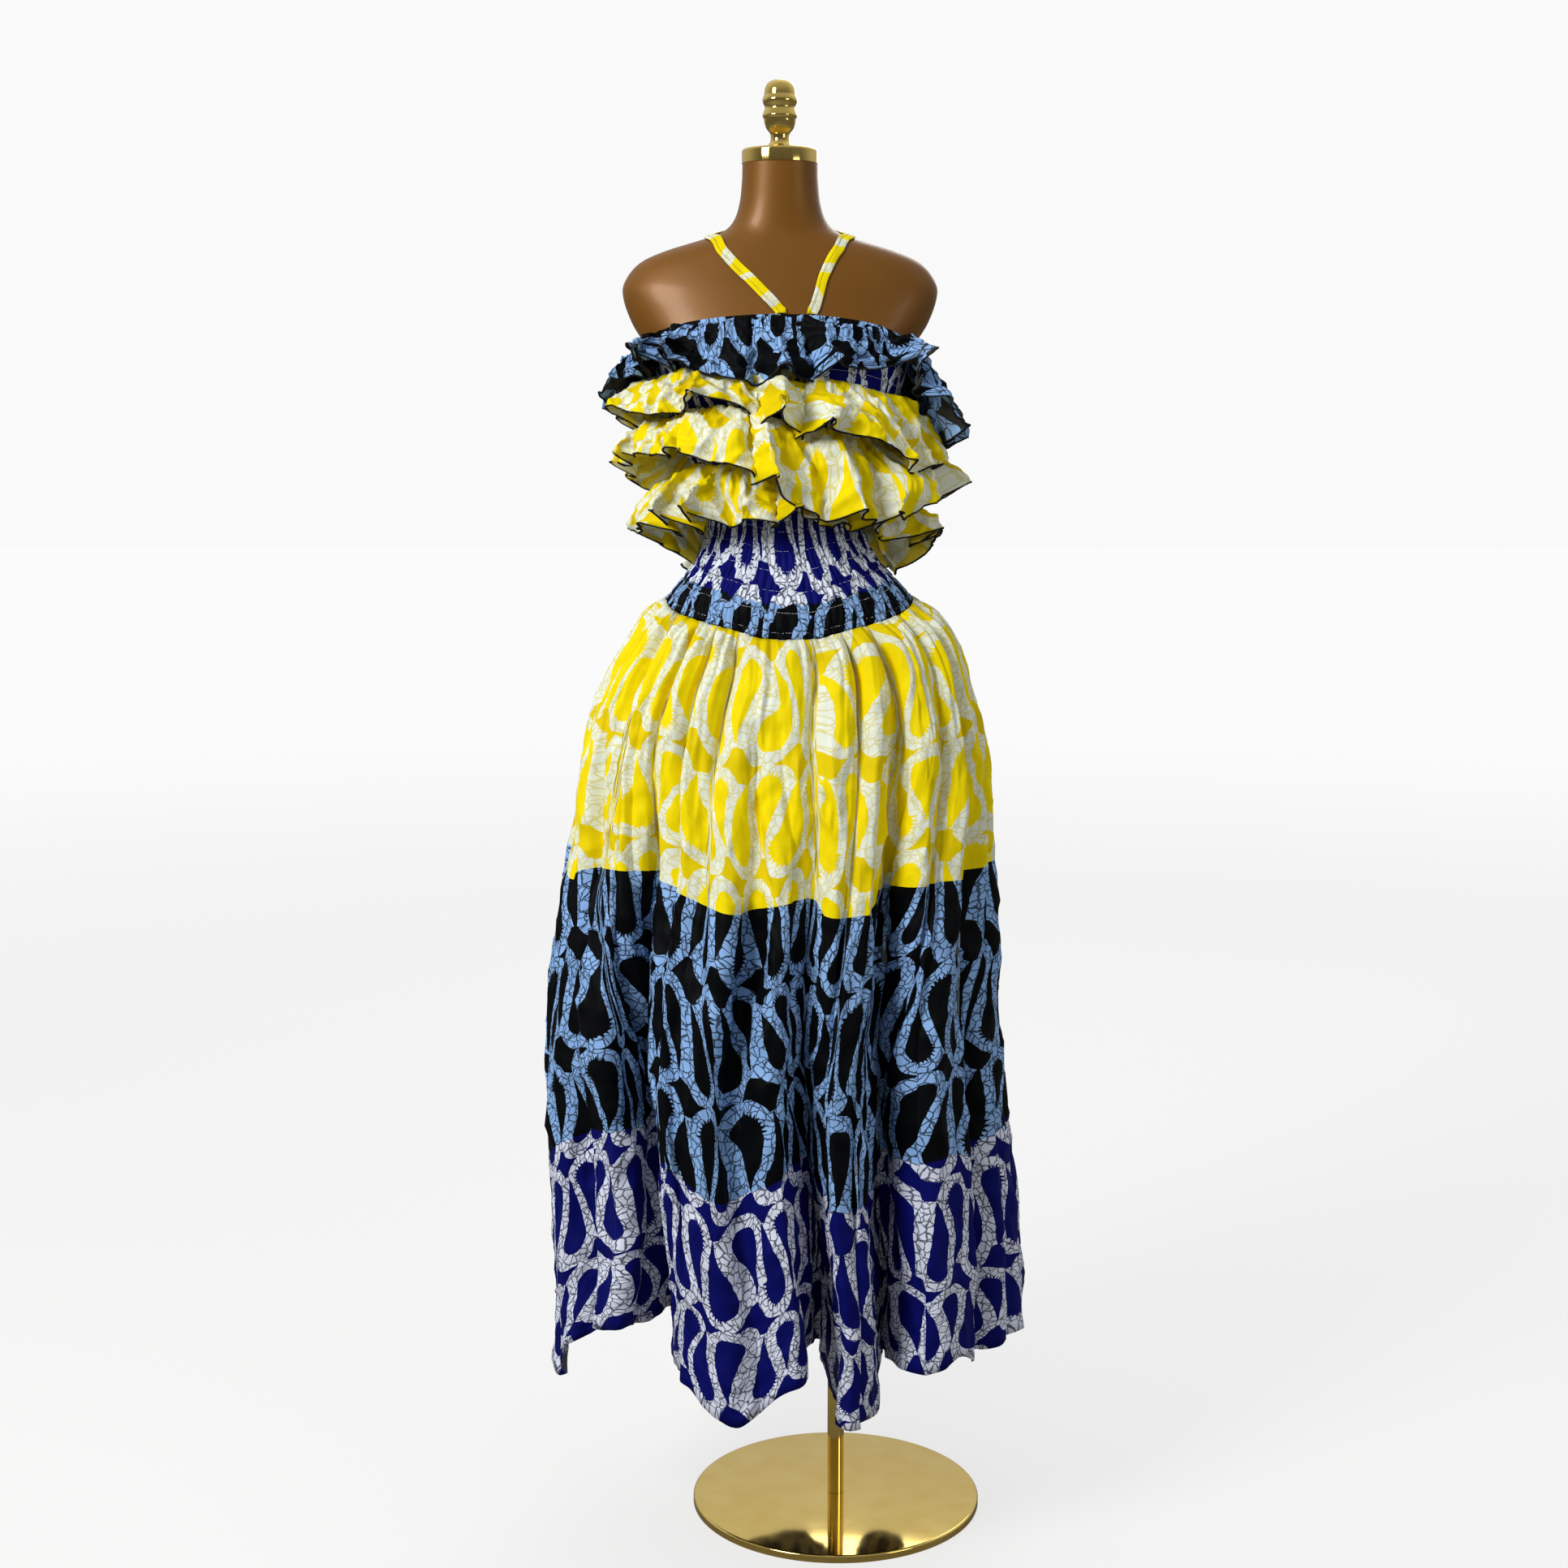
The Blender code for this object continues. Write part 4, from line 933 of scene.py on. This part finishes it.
def ruffleGrid(part, seed):
    columns = ruffles["columns"]
    cloth = np.arange(columns) / columns
    share = np.linspace(0, 1, ruffles["rows"])[:, None]
    angle, share = np.broadcast_arrays((-180 + 360 * cloth)[None, :], share)
    sewn, free, flare = np.moveaxis(readRound(part["rows"], angle), -1, 0)
    turn = np.radians(angle)
    around = angle / 360 + 0.5
    level = 0.5  # reads the noise along one line, between its corners
    waves = part["waves"]
    flare = flare * ruffles["flare"] * (1 + ruffles["flareVaries"] * cloud(around * 9, level, seed + 8, 9))
    swell = part["swing"] * (0.95 + 0.95 * cloud(around * waves, level, seed, waves))
    cycle = around * waves + part["phase"] + 0.9 * cloud(around * waves, share * 0.5 + 0.3, seed + 1, waves)
    swing = np.cos(math.tau * cycle)
    second = np.cos(math.tau * 2 * cycle + 1.3 + cloud(around * waves, level, seed + 4, waves))
    # puffs out at the sewn edge and then hangs
    bulge = 1 - (1 - share) ** ruffles["puff"]
    height = sewn + (free - sewn) * share ** ruffles["hang"] + part["rise"] * np.sin(math.pi * share**0.6)
    sewnOn = overBody(angle, sewn, ruffles["gap"] + ruffles["wall"])
    beneath = overBody(angle, height, ruffles["gap"] + ruffles["wall"])
    farther = np.linalg.norm(beneath[..., :2], axis=-1) > np.linalg.norm(sewnOn[..., :2], axis=-1)
    start = np.where(farther[..., None], beneath, sewnOn)
    out = flare * bulge + ruffles["waveDepth"] * share * (swing * swell + 0.35 * second)
    out = np.maximum(out, 0.0022 * easeIn(share / 0.1))
    lean = -ruffles["overhang"] * share**1.3 * np.sin(math.tau * 2 * cycle) * swell
    outwards = np.stack([np.sin(turn), -np.cos(turn), 0 * turn], -1)
    sideways = np.stack([np.cos(turn), np.sin(turn), 0 * turn], -1)
    place = start + outwards * out[..., None] + sideways * lean[..., None]
    lift = ruffles["waveLift"] * (swing * swell + 0.3 * second)
    lift = lift + ruffles["liftVaries"] * cloud(around * 14, level, seed + 2, 14)
    place[..., 2] = height + lift * share**1.2
    place[..., 2] += part["ragged"] * (1 - share) ** 5 * cloud(around * 64, level, seed + 6, 64)
    # fine gathers at the sewn edge, crisp creases below
    normals = gridNormals(place, True)
    fine = ruffles["gathers"]
    gather = 1.3 * np.abs(np.sin(math.pi * (around * fine + 0.6 * cloud(around * fine, level, seed + 3, fine)))) - 0.2
    more = ruffles["gatherDepth"] * gather * easeIn(share / 0.10) * np.exp(-share / 0.25)
    for wraps, sizeY, tall, step in ruffles["creases"]:
        more = more + tall * creases(around * wraps, share / sizeY, seed + step, wraps) * easeIn(share / 0.2)
    return place + normals * more[..., None], angle, share


def makeRuffles():
    edges = {}
    for index, (name, finish) in enumerate(ruffleCloths.items()):
        part = ruffles[name]
        place, angle, share = ruffleGrid(part, 40 + 10 * index)
        rim = place[-1]
        width = float(np.linalg.norm(np.roll(rim, -1, 0) - rim, axis=1).sum())
        flat = np.stack([(angle / 360 + 0.5) * width, share * part["depth"]], -1) * ruffles["printScale"]
        made = wallObject("ruffle" + name.capitalize(), place, flat, ruffles["wall"], True, finish)
        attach(made, "root")
        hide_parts("ruffle_" + name)
        back = place[-2] - rim
        back /= np.linalg.norm(back, axis=-1, keepdims=True)
        edges[name] = rim + back * ruffles["loopInset"] - gridNormals(place, True)[-1] * ruffles["wall"] / 2
        print(name, "ruffle made, free edge", round(width, 2), "m")
    return edges


ruffleEdges = makeRuffles()

# Straps: angle and height of the route over the form
straps = {
    "width": 0.0135,
    "wall": 0.0012,
    "clear": 0.0014,
    "rows": 180,
    "columns": 17,
    "hump": 0.0007,
    "groove": (0.25, 0.10, 0.0006),  # place across from -1 to 1, width, depth
    "feet": {-1: 2.0, 1: 8.6},  # how far each foot is turned from the middle
    "printAt": 0.080,
    "route": (
        (1.5, 1.5545), (5.5, 1.576), (12.0, 1.602), (23.5, 1.628), (45.0, 1.6445), (90.0, 1.6520),
        (128.0, 1.6600), (158.0, 1.6670), (179.4, 1.6700),
    ),
}


def strapPoints(side, row, total):
    part = straps
    rows = [(index,) + point for index, point in enumerate(part["route"])]
    last = len(rows) - 1
    spots = np.array([row - 1, row, row + 1]).clip(0, total - 1) * last / (total - 1)
    (angle0, height0), (angle, height), (angle2, height2) = readCurve(rows, spots)
    fade = float(easeIn(1 - row / (total * 0.4)))
    turned = side * angle + part["feet"][side] * fade
    along = formPoint(side * angle2, height2) - formPoint(side * angle0, height0)
    centre = formPoint(turned, height)
    stepRound = formPoint(turned + 1, height) - centre
    stepUp = formPoint(turned, height + 0.001) - centre
    normal = np.cross(stepRound, stepUp)
    normal /= np.linalg.norm(normal)
    across = np.cross(normal, along)
    across *= part["width"] / 2 / np.linalg.norm(across)
    twist = np.cross(stepRound, stepUp) @ normal
    swing = np.cross(across, stepUp) @ normal / twist
    rise = 0.001 * (np.cross(stepRound, across) @ normal) / twist
    line = []
    groove, grooveWidth, grooveDepth = part["groove"]
    for place in np.linspace(-1, 1, part["columns"]):
        spot = [turned + swing * place, height + rise * place]
        if row == 0:
            spot[1] = readRound(body["edges"], spot[0])[0] + 0.0006
        if row == total - 1:
            spot[0] = side * 179.82
        dip = grooveDepth * math.exp(-(((place - groove) / grooveWidth) ** 2))
        up = part["clear"] + part["wall"] + part["hump"] * (1 - place**4) - dip
        line.append(formPoint(*spot) + normal * up)
    return np.array(line), normal


def makeStraps():
    grooves = {}
    for name, node, side in (("strapLeft", "strap_left", -1), ("strapRight", "strap_right", 1)):
        total = straps["rows"]
        lines, ups = zip(*(strapPoints(side, row, total) for row in range(total)))
        outer = np.array(lines)
        normals = np.repeat(np.array(ups)[:, None, :], outer.shape[1], axis=1)
        middle = outer[:, outer.shape[1] // 2]
        length = np.concatenate([[0], np.cumsum(np.linalg.norm(np.diff(middle, axis=0), axis=1))])
        first = straps["printAt"]  # cut across the print
        widths = np.linspace(first, first + straps["width"] * 1.6, outer.shape[1])[None, :]
        flat = np.stack(np.broadcast_arrays(length[:, None] + 0.4 * (side > 0), widths), -1)
        made = wallObject(name, outer, flat, straps["wall"], False, strapCloth, normals)
        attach(made, "root")
        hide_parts(node)
        at = round((straps["groove"][0] + 1) / 2 * (outer.shape[1] - 1))
        grooves[name] = outer[:, at] + normals[:, 0] * 0.0001
    print("straps made")
    return grooves


strapGrooves = makeStraps()


# Stitches: spacing, size and thread radius in metres
stitches = {
    "overlock": (0.0014, 0.00115, 0.00038),
    "shirring": (0.0042, 0.0031, 0.00036),
    "topstitch": (0.0034, 0.0024, 0.00030),
}


def threadTree(loops):  # thread loops round an edge, or running stitches along a line
    tree = bpy.data.node_groups.new("overlockLoops" if loops else "runningStitches", "GeometryNodeTree")
    tree.interface.new_socket("Geometry", in_out="INPUT", socket_type="NodeSocketGeometry")
    for label in ("Spacing", "Stitch size", "Thread radius"):
        tree.interface.new_socket(label, in_out="INPUT", socket_type="NodeSocketFloat")
    tree.interface.new_socket("Thread", in_out="INPUT", socket_type="NodeSocketMaterial")
    tree.interface.new_socket("Geometry", in_out="OUTPUT", socket_type="NodeSocketGeometry")
    given = addNode(tree, "NodeGroupInput").outputs
    curve = addNode(tree, "GeometryNodeMeshToCurve", links={"Mesh": given["Geometry"]})
    spaced = {"Curve": curve.outputs[0], "Length": given["Spacing"]}
    even = addNode(tree, "GeometryNodeResampleCurve", {"mode": "LENGTH"}, spaced)
    ahead = {"Vector": addNode(tree, "GeometryNodeInputTangent").outputs[0]}
    turn = addNode(tree, "FunctionNodeAlignRotationToVector", {"axis": "Z" if loops else "X"}, ahead)
    most = Vector((0.35, 0.35, 0.05) if loops else (0.02, 0.12, 0.12))
    reach = {"Min": -most, "Max": most, "Seed": 7}
    tilt = addNode(tree, "FunctionNodeRandomValue", {"data_type": "FLOAT_VECTOR"}, reach)
    pair = {"Rotation": turn.outputs[0], "Rotate By": tilt.outputs[0]}
    tilted = addNode(tree, "FunctionNodeRotateRotation", {"rotation_space": "LOCAL"}, pair)
    if loops:
        sizes = {"Resolution": 7, "Radius": given["Stitch size"]}
        path = addNode(tree, "GeometryNodeCurvePrimitiveCircle", {"mode": "RADIUS"}, sizes)
    else:
        sizes = {"Direction": (1, 0, 0), "Length": given["Stitch size"]}
        path = addNode(tree, "GeometryNodeCurvePrimitiveLine", {"mode": "DIRECTION"}, sizes)
    sizes = {"Resolution": 3 if loops else 5, "Radius": given["Thread radius"]}
    section = addNode(tree, "GeometryNodeCurvePrimitiveCircle", {"mode": "RADIUS"}, sizes)
    swept = {"Curve": path.outputs[0], "Profile Curve": section.outputs[0], "Fill Caps": True}
    thread = addNode(tree, "GeometryNodeCurveToMesh", links=swept)
    spots = {"Points": even.outputs[0], "Instance": thread.outputs[0], "Rotation": tilted.outputs[0]}
    placed = addNode(tree, "GeometryNodeInstanceOnPoints", links=spots)
    whole = addNode(tree, "GeometryNodeRealizeInstances", links={0: placed.outputs[0]})
    coat = {"Geometry": whole.outputs[0], "Material": given["Thread"]}
    finished = addNode(tree, "GeometryNodeSetMaterial", links=coat)
    addNode(tree, "NodeGroupOutput", links={0: finished.outputs[0]})
    return tree


overlockLoops = threadTree(True)
runningStitches = threadTree(False)


def sewLines(name, lines, closed, tree, sizes, finish):
    points, edges = [], []
    for line in lines:
        first, count = len(points), len(line)
        points += [tuple(point) for point in line]
        edges += [(first + at, first + (at + 1) % count) for at in range(count if closed else count - 1)]
    mesh = bpy.data.meshes.new(name + "Line")
    mesh.from_pydata(points, edges, [])
    line = addObject(name + "Line", mesh)
    sewing = line.modifiers.new("sewing", "NODES")
    sewing.node_group = tree
    sockets = {item.name: item.identifier for item in tree.interface.items_tree if item.in_out == "INPUT"}
    for label, value in zip(("Spacing", "Stitch size", "Thread radius", "Thread"), (*sizes, finish)):
        sewing[sockets[label]] = value
    seen = line.evaluated_get(bpy.context.evaluated_depsgraph_get())
    sewn = bpy.data.meshes.new_from_object(seen)
    sewn.name = name
    line.modifiers.remove(sewing)
    bpy.data.objects.remove(line)
    made = addObject(name, sewn)
    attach(made, "root")
    return len(sewn.polygons)


def makeStitches():
    total = 0
    for name, edge in ruffleEdges.items():
        title = "overlock" + name.capitalize()
        total += sewLines(title, [edge], True, overlockLoops, stitches["overlock"], blackThread)
    pitch, deep = body["shirrPitch"], body["length"]
    rows = [(at + 1 - body["firstRow"]) * pitch / deep for at in range(-1, round(deep / pitch))]
    for name, start in (("shirringFront", -90), ("shirringBack", 90)):
        angle = start + np.linspace(0.8, 179.2, 420)[None, :]
        lines = []
        for share in rows:
            if 0.02 < share < 0.99:
                wavy = share + 0.0035 * cloud(angle / 14, share * 40, 5)
                lift = bodyPoint(angle, wavy, 0.00012) - bodyPoint(angle, wavy, 0.0)
                lines.append((bodySurface(angle, wavy) + lift)[0])
        total += sewLines(name, lines, False, runningStitches, stitches["shirring"], paleThread)
    for name, line in strapGrooves.items():
        title = name.replace("strap", "topstitch")
        total += sewLines(title, [line], False, runningStitches, stitches["topstitch"], darkThread)
    print("stitches made:", total, "faces")


makeStitches()

# The camera stands 3.0 m away at the chest's height, as the photo's did; focal is in image widths
studio = {
    "cameraAt": (0.005, -3.0, 1.394),
    "down": 8.13,
    "focal": 2912 / 1932,
    "backdrop": 0.95,
    "floorTint": "#82817F",
    "floorGlow": (1.0, 9.0, 0.66, 0.80),  # from and to metres away, near and far: the floor meets the backdrop
    "lightAbove": (-0.1, 0.9, 0.05, 0.46),
    "lightBehind": (-0.6, 0.6, 0.03, 0.42),
    "lamps": (
        ("keySoftbox", (-2.2, -2.2, 2.8), (0, 0, 1.0), 1.2, 100),
        ("fillSoftbox", (2.7, -2.2, 1.6), (0, 0, 0.9), 1.2, 15),
        ("backSoftbox", (0.8, 2.9, 2.9), (0, 0, 1.2), 1.8, 30),
    ),
}


def makeStudio():
    scene = bpy.context.scene
    lens = bpy.data.cameras.new("camera")
    lens.sensor_width = 36.0
    lens.lens = 36.0 * studio["focal"]
    lens.clip_start, lens.clip_end = 0.05, 100
    camera = bpy.data.objects.new("camera", lens)
    camera.location = studio["cameraAt"]
    camera.rotation_euler = (math.radians(90 - studio["down"]), 0, 0)
    scene.collection.objects.link(camera)
    scene.camera = camera
    scene.view_settings.view_transform = "Standard"  # keeps the dyes as bright as they are

    mesh = bpy.data.meshes.new("studioFloor")
    mesh.from_pydata([(-30, -30, 0), (30, -30, 0), (30, 30, 0), (-30, 30, 0)], [], [(0, 1, 2, 3)])
    pale, tree, shader = newMaterial("paleStudioFloor")
    setInputs(shader, {"Base Color": colour(studio["floorTint"]), "Roughness": 0.9, "Emission Color": (1, 1, 1, 1)})
    rays = addNode(tree, "ShaderNodeLightPath")
    place = addNode(tree, "ShaderNodeTexCoord").outputs["Object"]
    away = addNode(tree, "ShaderNodeVectorMath", {"operation": "LENGTH"}, {0: place})
    span = {"Value": away.outputs["Value"], **dict(enumerate(studio["floorGlow"], 1))}
    level = addNode(tree, "ShaderNodeMapRange", {"interpolation_type": "SMOOTHSTEP"}, span)
    both = {0: rays.outputs["Is Camera Ray"], 1: level.outputs[0]}
    glow = addNode(tree, "ShaderNodeMath", {"operation": "MULTIPLY"}, both)
    setInputs(shader, {"Emission Strength": glow.outputs[0]})
    floor = addObject("studioFloor", mesh, pale)

    world = bpy.data.worlds.new("studio")
    scene.world = world
    world.use_nodes = True
    tree = world.node_tree
    lit = tree.nodes["Background"]
    # the room is light above and behind, and dim in front, so polished metal has something dark to show
    way = addNode(tree, "ShaderNodeSeparateXYZ", links={0: addNode(tree, "ShaderNodeTexCoord").outputs["Generated"]})
    parts = []
    for axis, light in ((2, "lightAbove"), (1, "lightBehind")):
        span = {"Value": way.outputs[axis], **dict(enumerate(studio[light], 1))}
        parts.append(addNode(tree, "ShaderNodeMapRange", {"interpolation_type": "SMOOTHSTEP"}, span).outputs[0])
    room = addNode(tree, "ShaderNodeMath", {"operation": "ADD"}, {0: parts[0], 1: parts[1]})
    setInputs(lit, {"Color": (0.96, 0.98, 1.0, 1.0), "Strength": room.outputs[0]})
    seen = addNode(tree, "ShaderNodeBackground", {}, {"Color": (1, 1, 1, 1), "Strength": studio["backdrop"]})
    rays = addNode(tree, "ShaderNodeLightPath")
    both = {0: rays.outputs["Is Camera Ray"], 1: lit.outputs[0], 2: seen.outputs[0]}
    both = addNode(tree, "ShaderNodeMixShader", {}, both)
    setInputs(tree.nodes["World Output"], {"Surface": both.outputs[0]})

    for name, place, aim, size, power in studio["lamps"]:
        lamp = bpy.data.lights.new(name, "AREA")
        lamp.size, lamp.energy = size, power
        made = bpy.data.objects.new(name, lamp)
        made.location = place
        made.rotation_euler = (Vector(aim) - Vector(place)).to_track_quat("-Z", "Y").to_euler()
        scene.collection.objects.link(made)
    print("studio made")


makeStudio()
